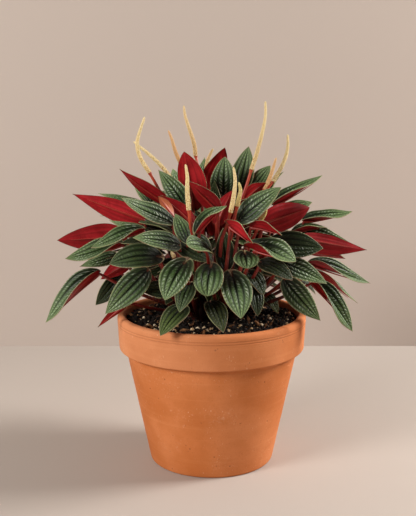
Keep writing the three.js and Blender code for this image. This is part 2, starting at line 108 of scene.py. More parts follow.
def flat_sheet(name, corner, opposite, material):
    """A rectangle with one side along the x axis, between opposite corners."""
    (x, y, z), (far_x, far_y, far_z) = corner, opposite
    points = [(x, y, z), (far_x, y, z), (far_x, far_y, far_z), (x, far_y, far_z)]
    mesh = new_mesh(name, points, [], [(0, 1, 2, 3)])
    mesh.materials.append(material)
    linked(name, mesh)


def soft_light(name, place, power):
    lamp = bpy.data.lights.new(name, "AREA")
    lamp.size = LIGHT_SIZE
    lamp.energy = power
    lamp.color = LIGHT_COLOUR
    light = linked(name, lamp)
    light.location = place
    light.rotation_euler = (Vector(LIGHT_AIM) - Vector(place)).to_track_quat("-Z", "Y").to_euler()


camera = linked("camera", bpy.data.cameras.new("camera"))
camera.location = CAMERA_PLACE
camera.rotation_euler = (math.radians(CAMERA_PITCH), 0, 0)
camera.data.lens = CAMERA_LENS
bpy.context.scene.camera = camera
bpy.context.scene.view_settings.view_transform = "Standard"

floor_finish, _ = finish_shader("pale_table", {"Base Color": paint("#b3a89f"), "Roughness": 0.7})
wall_finish, wall_shader = finish_shader("pale_wall", {"Base Color": paint("#beb0a6"), "Roughness": 0.9})
wall_tree = wall_finish.node_tree
wall_one_sided = node(wall_tree, "ShaderNodeMixShader", {
    0: node(wall_tree, "ShaderNodeNewGeometry").outputs["Backfacing"],
    1: wall_shader,
    2: node(wall_tree, "ShaderNodeBsdfTransparent"),
})
feed(wall_tree.nodes["Material Output"], {0: wall_one_sided})

flat_sheet("floor", (-FLOOR_REACH, -FLOOR_REACH, 0), (FLOOR_REACH, FLOOR_REACH, 0), floor_finish)
flat_sheet("wall", (-FLOOR_REACH, WALL_BEHIND, 0), (FLOOR_REACH, WALL_BEHIND, WALL_HEIGHT), wall_finish)

soft_light("key_light", (-0.85, -0.7, 0.65), 13)
soft_light("right_light", (0.97, 0.1, 0.74), 19)
world = bpy.data.worlds.new("room")
world.use_nodes = True
feed(world.node_tree.nodes["Background"], {"Color": paint(ROOM_COLOUR), "Strength": ROOM_STRENGTH})
bpy.context.scene.world = world


# ---------------------------------------------------------------- pot
# One thrown piece of unglazed terracotta: a tapering wall with a thick band at the rim, a rolled
# lip and a drain hole. Its outline is turned round the axis, with the faint lines of the turning.

POT_HEIGHT = 104 * MM
RIM_RADIUS = 65 * MM          # outside of the band, at its top
BAND_RADIUS = 63.8 * MM       # and at its foot
BAND_FOOT = 80 * MM           # height of the band's foot
BAND_ROUND = 1.2 * MM
BAND_FLARE = 0.06 * MM
NECK_RADIUS = 59.4 * MM       # outside of the wall, just under the band
NECK_ROUND = 1.4 * MM
NECK_EASE = 0.3 * MM          # how softly the wall meets the band
FOOT_RADIUS = 42.7 * MM
FOOT_ROUND = 1.6 * MM
FOOT_FLARE = 0.4 * MM
CREST_RADIUS = 62 * MM        # where the lip is highest
LIP_RADIUS = 59.1 * MM
LIP_DROP = 3.4 * MM
LIP_STEPS = 8
WELL_RADIUS = 38 * MM
FLOOR_THICKNESS = 8 * MM
DRAIN_RADIUS = 6 * MM
WALL_STEP = 1.4 * MM          # between the rows of points on the outer wall
INNER_STEP = 4.2 * MM         # and where the pot is hardly seen
ROUND_STEPS = 6
POT_SIDES = 256
GROOVE_HEIGHTS = (97.6 * MM, 99.3 * MM)
TURNING_RADIUS = 50 * MM      # of the circle that the outline is swept along
TURNING_RIPPLE = 0.35 * MM
TURNING_GRAIN = (9, 9, 260)   # how fine the ripple is across and up the pot


def bent(start, corner, end, t):
    """The point at this share of a curve that bends towards a corner."""
    return (1 - t) ** 2 * start + 2 * t * (1 - t) * corner + t ** 2 * end


def drawn(start, strokes):
    """Points along strokes that follow each other. A stroke is its step and its end where it is
    straight, and its number of points, its corner and its end where it is bent."""
    points = []
    for size, *corner, end in strokes:
        start, end = np.array(start), np.array(end)
        count = size if corner else max(1, round(math.dist(start, end) / size))
        corner = np.array(corner[0]) if corner else (start + end) / 2
        points += [bent(start, corner, end, i / count) for i in range(count)]
        start = end
    return points


def group_tree(name, inputs):
    """A new geometry node tree with these named inputs, and its first and last nodes."""
    tree = bpy.data.node_groups.new(name, "GeometryNodeTree")
    sockets = {"Geometry": "Geometry", **inputs, "Finish": "Material"}
    for label, kind in sockets.items():
        tree.interface.new_socket(name=label, in_out="INPUT", socket_type="NodeSocket" + kind)
    tree.interface.new_socket(name="Geometry", in_out="OUTPUT", socket_type="NodeSocketGeometry")
    return tree, node(tree, "NodeGroupInput").outputs, node(tree, "NodeGroupOutput")


def close_tree(given, last, geometry, smooth=True):
    """Ends a tree: realizes what it placed, smooths it and gives it the finish."""
    tree = last.id_data
    body = node(tree, "GeometryNodeRealizeInstances", {"Geometry": geometry})
    if smooth:
        body = node(tree, "GeometryNodeSetShadeSmooth", {"Geometry": body})
    feed(last, {0: node(tree, "GeometryNodeSetMaterial", {"Geometry": body, "Material": given["Finish"]})})
    return tree


def line_mesh(name, lines, closed=False, **attributes):
    """A mesh of bare edges, one chain for each line, with values at its points."""
    edges = []
    start = 0
    for line in lines:
        edges += [(start + i, start + i + 1) for i in range(len(line) - 1)]
        if closed:
            edges.append((start + len(line) - 1, start))
        start += len(line)
    mesh = new_mesh(name, [point for line in lines for point in line], edges, [])
    for label, values in attributes.items():
        point_values(mesh, label, values)
    return mesh


def point_values(mesh, label, values):
    data = mesh.attributes.new(label, "FLOAT", "POINT").data
    data.foreach_set("value", np.array(values, dtype=np.float32))


def worked(name, mesh, tree, **values):
    """An object with the mesh that the tree makes of this one, with these values of its inputs."""
    piece = linked(name, mesh)
    modifier = piece.modifiers.new(tree.name, "NODES")
    modifier.node_group = tree
    for item in tree.interface.items_tree:
        if item.in_out == "INPUT" and item.name in values:
            modifier[item.identifier] = values[item.name]
    made = piece.evaluated_get(bpy.context.evaluated_depsgraph_get())
    plain = bpy.data.meshes.new_from_object(made)
    piece.modifiers.remove(modifier)
    piece.data = plain
    plain.name = name
    return piece


def part_of_plant(piece, slot, *nodes):
    """Says what a finished piece rides on and which imported parts it stands for; the slot is not used."""
    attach(piece, "root")
    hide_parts(*nodes)


def calc(operation, *values):
    """A math node on sockets and numbers, in the tree of the first socket."""
    tree = next(value.id_data for value in values if isinstance(value, bpy.types.NodeSocket))
    return node(tree, "ShaderNodeMath", dict(enumerate(values)), operation=operation).outputs[0]


def times(value, *others):
    for other in others:
        value = calc("MULTIPLY", value, other)
    return value


def away(value, middle):
    return calc("ABSOLUTE", calc("SUBTRACT", value, middle))


def scaled(vector, scale):
    inputs = {0: vector, "Scale": scale}
    return node(vector.id_data, "ShaderNodeVectorMath", inputs, operation="SCALE").outputs[0]


def turning_tree():
    """Sweeps an outline round the axis, and ripples the skin along its normal."""
    tree, given, last = group_tree("turned_body", {"Sides": "Int", "Circle": "Float", "Ripple": "Float"})
    outline = node(tree, "GeometryNodeMeshToCurve", {"Mesh": given["Geometry"]})
    circle_size = {"Resolution": given["Sides"], "Radius": given["Circle"]}
    circle = node(tree, "GeometryNodeCurvePrimitiveCircle", circle_size)
    upright = node(tree, "GeometryNodeSetCurveNormal", {"Curve": circle}, mode="Z_UP")
    body = node(tree, "GeometryNodeCurveToMesh", {"Curve": upright, "Profile Curve": outline})
    place = node(tree, "GeometryNodeInputPosition")
    squeezed = node(tree, "ShaderNodeVectorMath", {0: place, 1: TURNING_GRAIN}, operation="MULTIPLY")
    ripples = node(tree, "ShaderNodeTexNoise", {"Vector": squeezed, "Scale": 1.0, "Detail": 3.0})
    height = times(calc("SUBTRACT", ripples.outputs[0], 0.5), given["Ripple"])
    outwards = scaled(node(tree, "GeometryNodeInputNormal").outputs[0], height)
    rippled = node(tree, "GeometryNodeSetPosition", {"Geometry": body, "Offset": outwards})
    return close_tree(given, last, rippled)


def noise_at(place, scale, detail=4.0, roughness=0.55):
    return node(place.id_data, "ShaderNodeTexNoise", {
        "Vector": place, "Scale": scale, "Detail": detail, "Roughness": roughness,
    }).outputs[0]


def stretched(place, scale, turn=(0, 0, 0)):
    inputs = {"Vector": place, "Rotation": turn, "Scale": scale}
    return node(place.id_data, "ShaderNodeMapping", inputs).outputs[0]


def span(value, low, high, to_low=0.0, to_high=1.0):
    """The value carried smoothly from one span to another."""
    return node(value.id_data, "ShaderNodeMapRange", {
        "Value": value, "From Min": low, "From Max": high, "To Min": to_low, "To Max": to_high,
    }, interpolation_type="SMOOTHSTEP").outputs[0]


def layered(ground, *coats):
    """Coats of colour laid over each other, each with its share. A colour is a socket or #rrggbb."""
    for share, coat in coats:
        below, above = (paint(colour) if isinstance(colour, str) else colour for colour in (ground, coat))
        mixed = node(share.id_data, "ShaderNodeMix", {0: share, 6: below, 7: above}, data_type="RGBA")
        ground = mixed.outputs[2]
    return ground


def bumped(height, strength, distance, **more):
    """The way a surface faces where this height changes it."""
    settings = {"Height": height, "Strength": strength, "Distance": distance * MM}
    return node(height.id_data, "ShaderNodeBump", settings, **more).outputs[0]


def surface_place(shader):
    return node(shader.id_data, "ShaderNodeTexCoord").outputs["Object"]


def terracotta_finish():
    """Fired clay: soft clouds of tone, fine grit, pits, faint turning lines and specks of lime, a pale band
    at the rim that is part dust and part painted light, and painted shade in the grooves.
    """
    material, shader = finish_shader("terracotta_clay", {"Specular IOR Level": 0.3})
    place = surface_place(shader)
    parts = node(shader.id_data, "ShaderNodeSeparateXYZ", {0: place}).outputs
    grit = noise_at(place, 900, 3, 0.7)
    turning = noise_at(stretched(place, (12, 12, 420)), 1)
    cells = node(shader.id_data, "ShaderNodeTexVoronoi", {"Vector": place, "Scale": 330})
    pits = times(span(cells.outputs["Distance"], 0.26, 0.12), span(noise_at(place, 210), 0.58, 0.66))
    lime_grain = noise_at(place, 420, 4, 0.75)
    lime = times(
        span(noise_at(place, 34, 6, 0.7), 0.52, 0.72), span(lime_grain, 0.5, 0.68),
        span(parts["X"], 0.02, -0.035, 0.3, 1), span(span(parts["Z"], 0.085, 0.05), 0, 1, 0.25, 0.8),
    )
    scratches = times(
        span(noise_at(stretched(place, (1500, 1500, 500), (0, 0.7, 0.4)), 1, 2), 0.66, 0.74),
        span(noise_at(place, 70, 3), 0.48, 0.6), 0.55,
    )
    # The band is paler: part dust, part painted light, strongest on the left where the key light falls and
    # faint on the right where leaves cast shadows.
    band_dust_and_sheen = times(span(parts["Z"], 0.0785, 0.0815, 0, 0.16), span(parts["X"], 0.04, -0.03, 0.3, 1))
    grooves = 0.0
    for height in GROOVE_HEIGHTS:
        grooves = calc("ADD", grooves, span(away(parts["Z"], height), 0.0006, 0.0001))
    clay = layered(
        "#bf6c35",
        (span(noise_at(place, 26, 5), 0.35, 0.7), "#d2804c"),
        (span(turning, 0.5, 0.75, 0, 0.18), "#dd9560"),
        (span(grit, 0.5, 0.8, 0, 0.35), "#a8582c"),
        (lime, "#e6c3a4"),
        (scratches, "#eecfae"),
        (times(pits, 0.6), "#7c3d1c"),
        (band_dust_and_sheen, "#f2bd98"),
        # painted shade in the turned grooves
        (times(grooves, 0.25), "#8c4a24"),
    )
    height = calc("ADD", times(grit, 0.35), times(turning, 0.25))
    height = calc("SUBTRACT", calc("SUBTRACT", height, times(pits, 0.9)), times(grooves, 0.8))
    feed(shader, {
        "Base Color": clay, "Roughness": span(lime_grain, 0.3, 0.7, 0.76, 0.9),
        "Normal": bumped(height, 0.45, 0.4),
    })
    return material


pot_outline = drawn((DRAIN_RADIUS, 0), [
    (INNER_STEP, (FOOT_RADIUS - FOOT_ROUND, 0)),
    (ROUND_STEPS, (FOOT_RADIUS, 0), (FOOT_RADIUS + FOOT_FLARE, FOOT_ROUND)),
    (WALL_STEP, (NECK_RADIUS - NECK_EASE, BAND_FOOT - BAND_ROUND)),
    (ROUND_STEPS, (NECK_RADIUS, BAND_FOOT + NECK_EASE), (NECK_RADIUS + NECK_ROUND, BAND_FOOT)),
    (WALL_STEP, (BAND_RADIUS - BAND_ROUND, BAND_FOOT)),
    (ROUND_STEPS, (BAND_RADIUS, BAND_FOOT), (BAND_RADIUS + BAND_FLARE, BAND_FOOT + BAND_ROUND)),
    (WALL_STEP, (RIM_RADIUS, POT_HEIGHT - LIP_DROP)),
    (LIP_STEPS, (RIM_RADIUS, POT_HEIGHT), (CREST_RADIUS, POT_HEIGHT)),
    (LIP_STEPS, (LIP_RADIUS, POT_HEIGHT), (LIP_RADIUS, POT_HEIGHT - LIP_DROP)),
    (INNER_STEP, (WELL_RADIUS, FLOOR_THICKNESS)),
    (INNER_STEP, (DRAIN_RADIUS, FLOOR_THICKNESS)),
    (INNER_STEP, (DRAIN_RADIUS, 0)),
])
pot = worked(
    "terracotta_pot",
    line_mesh("pot_outline", [[(r - TURNING_RADIUS, -z, 0) for r, z in reversed(pot_outline)]], closed=True),
    turning_tree(), Sides=POT_SIDES, Circle=TURNING_RADIUS, Ripple=TURNING_RIPPLE,
    Finish=terracotta_finish(),
)
part_of_plant(pot, "terracotta", "pot")


# ---------------------------------------------------------------- potting mix
# Dark peat and fine bark, loosely heaped to just under the lip, with crumbs and clods lying on it,
# cream grains of perlite and tan splinters of bark.

MIX_LEVEL = 100 * MM
MIX_RELIEF = 1.1 * MM
MIX_EDGE_DROP = 1.2 * MM
MIX_CLEARANCE = 0.3 * MM
MIX_RINGS = 58
MIX_SIDES = 180
MIX_EDGE_RINGS = 6            # over which the mix levels out to the wall
MIX_LUMPS = 1.5 * MM          # how far the fine clods rise and fall
MIX_GRAIN = 260               # and how many of them lie along a metre
KNOCK = 1.2 * MM              # how far the corners of a bit are knocked about
SIZE_POWER = 2.6              # above 1 there are more small bits than large ones
STEEPEST = 0.3                # how far the normal still points up where bits lie
BITS = {                      # [spacing, smallest, largest] in metres, and their shape
    "potting_mix": ([1.25 * MM, 0.4 * MM, 2.2 * MM], (1.25, 0.85, 0.7)),
    "perlite_grains": ([4.5 * MM, 0.45 * MM, 2.2 * MM], (1.1, 0.9, 0.85)),
    "bark_splinters": ([6.5 * MM, 0.7 * MM, 3.0 * MM], (1.9, 0.7, 0.4)),
}


def inner_radius(height):
    """The pot's radius inside, at a height."""
    share = (height - FLOOR_THICKNESS) / (POT_HEIGHT - LIP_DROP - FLOOR_THICKNESS)
    return WELL_RADIUS + (LIP_RADIUS - WELL_RADIUS) * share


def mix_height(x, y):
    """Height of the mix: the low broad waves of its solid, in millimetres across."""
    x, y = x / MM, y / MM
    waves = math.sin(0.12 * x + 1.3) * math.cos(0.1 * y - 0.4) + 0.5 * math.sin(0.19 * x - 0.17 * y)
    return MIX_LEVEL + MIX_RELIEF * waves


def mix_mesh():
    """A closed body: the lumpy top in rings about its middle, the wall and the flat bottom."""
    bottom = FLOOR_THICKNESS + MIX_CLEARANCE
    edge = MIX_LEVEL - MIX_EDGE_DROP
    reach = inner_radius(edge) - MIX_CLEARANCE
    low = inner_radius(bottom) - MIX_CLEARANCE
    angles = [2 * math.pi * side / MIX_SIDES for side in range(MIX_SIDES)]
    points = [(0, 0, mix_height(0, 0))]
    for ring in range(1, MIX_RINGS + 1):
        near_edge = min(1, (MIX_RINGS - ring) / MIX_EDGE_RINGS)
        for angle in angles:
            x, y = reach * ring / MIX_RINGS * math.cos(angle), reach * ring / MIX_RINGS * math.sin(angle)
            lumps = noise.fractal(Vector((x, y, 0)) * MIX_GRAIN, 0.8, 2.1, 4) * MIX_LUMPS
            height = mix_height(x, y) + lumps * min(1, near_edge + 0.3)
            points.append((x, y, edge + (height - edge) * near_edge))
    points += [(low * math.cos(angle), low * math.sin(angle), bottom) for angle in angles]
    points.append((0, 0, bottom))
    turns = [(side, (side + 1) % MIX_SIDES) for side in range(MIX_SIDES)]
    faces = [(0, 1 + a, 1 + b) for a, b in turns]
    for ring in range(MIX_RINGS):
        first = 1 + ring * MIX_SIDES
        faces += [(first + a, first + MIX_SIDES + a, first + MIX_SIDES + b, first + b) for a, b in turns]
    last = 1 + MIX_RINGS * MIX_SIDES
    faces += [(last + b, last + a, last + MIX_SIDES) for a, b in turns]
    return new_mesh("potting_mix", points, [], faces)


def strewn_tree():
    """Strews small faceted bits over the upward faces of a body, half sunk in and turned any way."""
    tree, given, last = group_tree("strewn_bits", {
        "Spacing": "Float", "Smallest": "Float", "Largest": "Float", "Shape": "Vector",
        "Keep Body": "Bool", "Seed": "Int",
    })
    facing = node(tree, "ShaderNodeSeparateXYZ", {0: node(tree, "GeometryNodeInputNormal")})
    limits = {0: facing.outputs["Z"], 1: STEEPEST}
    upward = node(tree, "FunctionNodeCompare", limits, operation="GREATER_THAN")
    spots = node(tree, "GeometryNodeDistributePointsOnFaces", {
        "Mesh": given["Geometry"], "Selection": upward, "Distance Min": given["Spacing"],
        "Density Max": 3e6, "Seed": given["Seed"],
    }, distribute_method="POISSON")
    draw = node(tree, "FunctionNodeRandomValue", {"Seed": given["Seed"]}, data_type="FLOAT")
    size = node(tree, "ShaderNodeMapRange", {
        "Value": calc("POWER", draw.outputs[1], SIZE_POWER),
        "To Min": given["Smallest"], "To Max": given["Largest"],
    })
    turn = node(tree, "FunctionNodeRandomValue", {
        0: (0, 0, 0), 1: (6.28, 6.28, 6.28), "Seed": given["Seed"],
    }, data_type="FLOAT_VECTOR")
    bits = node(tree, "GeometryNodeInstanceOnPoints", {
        "Points": spots, "Rotation": turn, "Scale": scaled(given["Shape"], size.outputs[0]),
        "Instance": node(tree, "GeometryNodeMeshIcoSphere", {"Radius": 1.0, "Subdivisions": 1}),
    })
    place = node(tree, "GeometryNodeInputPosition")
    uneven = node(tree, "ShaderNodeTexNoise", {"Vector": place, "Scale": 900.0}).outputs["Color"]
    middle = {0: uneven, 1: (0.5, 0.5, 0.5)}
    centred = node(tree, "ShaderNodeVectorMath", middle, operation="SUBTRACT")
    knocked = node(tree, "GeometryNodeSetPosition", {
        "Geometry": node(tree, "GeometryNodeRealizeInstances", {"Geometry": bits}),
        "Offset": scaled(centred.outputs[0], KNOCK),
    })
    kept = {"Switch": given["Keep Body"], "True": given["Geometry"]}
    body = node(tree, "GeometryNodeSwitch", kept, input_type="GEOMETRY")
    both = node(tree, "GeometryNodeJoinGeometry")
    feed(both, {0: body})
    feed(both, {0: knocked})
    return close_tree(given, last, both, smooth=False)


def bits_finish(name, dark, pale, scale, roughness):
    """A dry crumbly surface between two colours, which change from bit to bit."""
    material, shader = finish_shader(name, {"Roughness": roughness, "Specular IOR Level": 0.25})
    place = surface_place(shader)
    grains = noise_at(place, 1400, 3, 0.7)
    patches = noise_at(place, scale, 3, 0.6)
    share = calc("ADD", span(patches, 0.38, 0.66, 0, 0.75), span(grains, 0.5, 0.8, 0, 0.25))
    feed(shader, {"Base Color": layered(dark, (share, pale)), "Normal": bumped(grains, 0.6, 0.3)})
    return material


strewn_bits = strewn_tree()
mix_body = mix_mesh()


def strewn(name, seed, finish):
    (spacing, smallest, largest), shape = BITS[name]
    piece = worked(
        name, mix_body, strewn_bits, Spacing=spacing, Smallest=smallest, Largest=largest,
        Shape=shape, Seed=seed, Finish=finish, **{"Keep Body": name == "potting_mix"},
    )
    part_of_plant(piece, "potting_mix", "soil")


strewn("potting_mix", 3, bits_finish("peat_and_bark", "#080605", "#2a1d15", 330, 0.9))
strewn("perlite_grains", 11, bits_finish("perlite", "#b58e5e", "#f0e0c2", 260, 0.85))
strewn("bark_splinters", 29, bits_finish("bark", "#4e3220", "#9a6c44", 300, 0.85))


# ---------------------------------------------------------------- leafy shoots: where they grow
# Seven short crowns stand in the mix. Each carries a fan of leaves, and three of them carry flowers.
# A leaf is [base of the blade, tip of the blade, width, roll in degrees, arch] in millimetres, and
# where it is folded like a boat also [fold at the base, twist from base to tip] in degrees. At roll
# 0 its upper face looks up, or inwards where it stands upright. A flower is its stalk's points and
# then its spike's points, from the foot up.

CROWN_AZIMUTHS = {
    "left": 180, "front_left": 232, "front_right": 288, "right": 345, "back_right": 55, "back_left": 115,
    "centre": None,
}
LEAVES = {
    "left": [
        [[-44, -28, 171], [-89, -33, 189], 15, 105, 1],
        [[-75, -20, 135], [-110, -27, 103], 23, -26, 1, 72, 8],
        [[-58, -12, 158], [-103, -14, 156], 21, 80, 1],
        [[-58, -29, 156], [-95, -33, 147], 17, -22, -1, 58, -45],
        [[-63, -14, 146], [-88, -18, 139], 10, -65, 0],
        [[-47, 14, 176], [-79, 18, 184], 12, -15, 0],
        [[-63, 8, 129], [-81, 6, 107], 14, -105, 2],
        [[-55, -28, 117], [-75, -32, 101], 8, 60, 1],
        [[-56, 4, 150], [-90, 8, 141], 16, 0, 3],
        [[-56, 0, 139], [-76, -2, 127], 11, 90, 1],
        [[-44, 3, 166], [-76, 3, 170], 14, 0, 2],
    ],
    "front_left": [
        [[-24, -48, 172], [-55, -62, 190], 17, -50, -2, 30, -10],
        [[-43, -47, 168], [-75, -56, 158], 16, -12, 0, 50, -25],
        [[-40, -36, 164], [-65, -40, 173], 11, -35, -1],
        [[-14, -54, 135], [-20, -68, 120], 13, -10, 3],
        [[-34, -54, 152], [-63, -62, 149], 19, -45, 3],
        [[-41, -42, 141], [-68, -48, 114], 18, -65, 2],
        [[-17, -72, 151], [-28, -87, 132], 20, -10, 3],
        [[-20, -64, 161], [-47, -79, 168], 15, -55, 1],
        [[-17, -50, 119], [-32, -68, 105], 15, -15, 2],
        [[-15, -60, 162], [-23, -46, 178], 11, -45, 1],
        [[-8, -70, 171], [9, -62, 185], 15, 28, 1, 58, 0],
        [[-20, -51, 161], [-1, -63, 151], 22, 22, 2],
        [[-28, -36, 126], [-45, -42, 128], 13, -60, 2],
        [[-25, -34, 175], [-34, -37, 188], 8, 60, 1, 60, 0],
    ],
    "front_right": [
        [[-1, -74, 149], [-3, -85, 134], 19, 0, 3],
        [[-1, -46, 121], [7, -64, 106], 14, 5, 3],
        [[12, -70, 143], [17, -88, 121], 20, 5, 3],
        [[26, -62, 158], [50, -76, 153], 23, 18, 0, 72, -4],
        [[26, -40, 130], [29, -50, 113], 11, 5, 2],
        [[24, -35, 138], [33, -44, 125], 13, 10, 2],
        [[31, -46, 147], [50, -58, 138], 14, 30, 2],
        [[20, -68, 156], [21, -77, 149], 16, 0, 1, 8, 0],
        [[17, -58, 175], [42, -60, 196], 17, 70, 1],
        [[24, -60, 172], [42, -70, 168], 13, -34, 1, 34, 0],
        [[11, -72, 174], [24, -82, 165], 15, -46, 0, 36, 0],
        [[-3, -78, 160], [-15, -86, 165], 17, -34, 1, 24, 0],
        [[9, -50, 143], [7, -46, 169], 13, 180, -2],
    ],
    "right": [
        [[47, -36, 134], [70, -42, 108], 16, 70, 2],
        [[46, 14, 171], [70, 16, 178], 15, 32, 0],
        [[45, -46, 147], [72, -54, 135], 14, 50, 2],
        [[37, -43, 158], [70, -46, 156], 19, 55, 1],
        [[57, -22, 158], [103, -17, 150], 15, -115, 0],
        [[67, 26, 143], [96, 28, 136], 12, -45, 0],
        [[71, 8, 131], [103, 12, 107], 14, -4, 0, 44, 15],
        [[32, -43, 171], [61, -47, 182], 18, -95, 2],
        [[62, -6, 168], [95, -3, 174], 16, 10, -1, 48, 20],
        [[41, -14, 180], [73, -11, 199], 17, 10, -1, 50, 15],
        [[67, -18, 128], [94, -24, 96], 19, 15, 1, 66, 45],
        [[54, -12, 161], [77, -10, 164], 12, 0, 1, 42, 0],
        [[66, -10, 140], [110, 4, 123], 17, 15, -1, 68, 50],
        [[56, -8, 163], [94, -8, 153], 14, 60, 0],
        [[35, -4, 117], [45, -10, 105], 10, 30, 2],
        [[58, 4, 150], [92, 10, 140], 16, 0, 3],
        [[48, 14, 130], [74, 18, 112], 16, 20, 3],
        [[44, 10, 164], [78, 20, 167], 14, 0, 2],
    ],
    "back_right": [
        [[20, 34, 176], [27, 48, 201], 15, 10, 0],
    ],
    "back_left": [
        [[-6, 37, 180], [-5, 49, 207], 12, 0, 1],
        [[-24, 34, 176], [-28, 45, 199], 13, 0, 2],
        [[-43, 34, 173], [-55, 38, 186], 11, -20, 2],
    ],
    "centre": [
        [[-28, -14, 180], [-60, -20, 204], 14, 40, -1],
        [[-16, -22, 178], [-35, -16, 203], 14, -90, 1],
        [[-12, -8, 179], [-18, -17, 215], 22, 20, 1],
        [[-2, 24, 184], [9, 12, 216], 18, -80, 1],
        [[4, -46, 180], [-14, -54, 199], 13, 20, 0],
        [[8, 4, 182], [9, 8, 210], 19, 30, 0],
        [[19, 20, 185], [26, 26, 216], 17, 30, 0],
        [[28, 18, 185], [41, 22, 203], 13, 40, 0],
        [[22, -6, 182], [36, -8, 194], 10, -60, 2],
        [[-12, -30, 169], [-33, -30, 188], 11, 60, 2],
        [[34, 10, 177], [50, 18, 199], 13, 0, 2],
        [[-30, 12, 173], [-43, 18, 190], 13, 0, 2],
        [[3, -28, 169], [13, -30, 191], 13, -45, 1],
        [[2, -2, 166], [2, 4, 194], 14, 0, 0],
    ],
}
FLOWERS = {
    "front_left": [
        [[[-11, -60, 162], [-13, -66, 173]],
         [[-14, -68, 183], [-15, -66, 194], [-15, -64, 203], [-16, -64, 210]]],
        [[[-22, -36, 143]],
         [[-24, -40, 149], [-25, -40, 151], [-26, -40, 153]]],
    ],
    "front_right": [
        [[[6, -56, 163], [9, -62, 173]],
         [[11, -64, 181], [13, -62, 190], [14, -60, 200], [13, -60, 208]]],
        [[[14, -38, 174]],
         [[16, -40, 182], [17, -40, 187], [18, -40, 192], [17, -40, 197]]],
        [[[27, -44, 164]],
         [[29, -48, 171], [31, -48, 175], [33, -48, 178], [34, -48, 181]]],
    ],
    "centre": [
        [[[-30, -12, 179], [-36, -14, 192]],
         [[-41, -14, 201], [-47, -13, 211], [-49, -12, 220], [-44, -12, 237]]],
        [[[-24, 10, 187]],
         [[-28, 10, 195], [-33, 10, 202], [-41, 10, 210], [-53, 10, 220]]],
        [[[-16, 22, 192]],
         [[-21, 24, 203], [-25, 24, 212], [-28, 24, 222], [-30, 24, 227]]],
        [[[-9, 14, 201]],
         [[-11, 16, 210], [-12, 16, 218], [-18, 16, 237], [-19, 16, 244]]],
        [[[-4, 29, 188]],
         [[-4, 31, 198], [-3, 31, 205], [-1, 31, 210], [1, 31, 214]]],
        [[[19, -14, 181], [23, -14, 193]],
         [[26, -14, 203], [30, -12, 215], [35, -10, 237], [35, -10, 247]]],
        [[[36, -4, 187]],
         [[41, -2, 194], [48, 0, 206], [51, 2, 216], [51, 2, 225]]],
        [[[33, 4, 180]],
         [[36, 6, 188], [39, 8, 194], [42, 10, 202], [44, 10, 209]]],
    ],
}
CROWN_RING = 15               # the outer crowns stand on a circle of this radius
CROWN_HEAD_HEIGHT = 107
ROOT_REACH = 2.8              # how far out and up on a crown's head the stalks start
ROOT_SPREAD = 4.5
LOWEST_LEAF = 115             # leaves from this height up
LEAF_RANGE = 70

# The far side is filled by rule: tiers of leaves spread evenly from one azimuth to another. A tier is
# [how many, first azimuth, last azimuth, base, tip, width], with each end's distance and height.
FAR_TIERS = [
    [6, 40, 148, (46, 120), (70, 107), 15],
    [7, 34, 150, (62, 137), (88, 112), 17],
    [8, 22, 162, (56, 155), (89, 148), 17],
    [6, 48, 132, (42, 170), (74, 182), 16],
]
FAR_SEED = 21
FAR_ARCH = 2.5
# How far each measure strays from its tier's, in degrees or millimetres.
FAR_SPREAD = {"azimuth": 3, "lean": 6, "base": 2, "tip": 3, "width": 1.5, "roll": 18, "arch": 1}


def seeded_random(seed):
    """Evenly spread numbers from 0 to 1, the same ones as the solids are made with."""
    state = seed
    while True:
        state = (state * 1664525 + 1013904223) % 4294967296
        yield state / 4294967296


def around(degrees, radius, height):
    """A point at this azimuth, distance from the axis and height."""
    angle = math.radians(degrees)
    return [radius * math.cos(angle), radius * math.sin(angle), height]


def add_far_leaves():
    draws = seeded_random(FAR_SEED)

    def vary(measure):
        return FAR_SPREAD[measure] * (2 * next(draws) - 1)

    for count, first, last, (near, low), (far, high), width in FAR_TIERS:
        for azimuth in np.linspace(first, last, count):
            azimuth += vary("azimuth")
            lean = azimuth + vary("lean")
            base = around(azimuth, near + vary("base"), low + vary("base"))
            tip = around(lean, far + vary("tip"), high + vary("tip"))
            leaf = [base, tip, width + vary("width"), vary("roll"), FAR_ARCH + vary("arch")]
            LEAVES["back_right" if azimuth < 90 else "back_left"].append(leaf)


def unit(vector):
    return vector / np.linalg.norm(vector, axis=-1, keepdims=True)


def crown_place(shoot_name):
    azimuth = CROWN_AZIMUTHS[shoot_name]
    return np.zeros(3) if azimuth is None else np.array(around(azimuth, CROWN_RING, 0))


def outwards_from(place, target):
    return unit(np.array([target[0] - place[0], target[1] - place[1], 0]))


def root_on(place, target):
    """Where a stalk leaves its crown: low on the head for a low leaf, high for a high one."""
    rise = min(1, max(0, (target[2] - LOWEST_LEAF) / LEAF_RANGE))
    height = CROWN_HEAD_HEIGHT + ROOT_SPREAD * (2 * rise - 1)
    return np.array([place[0], place[1], height]) + ROOT_REACH * outwards_from(place, target)


add_far_leaves()
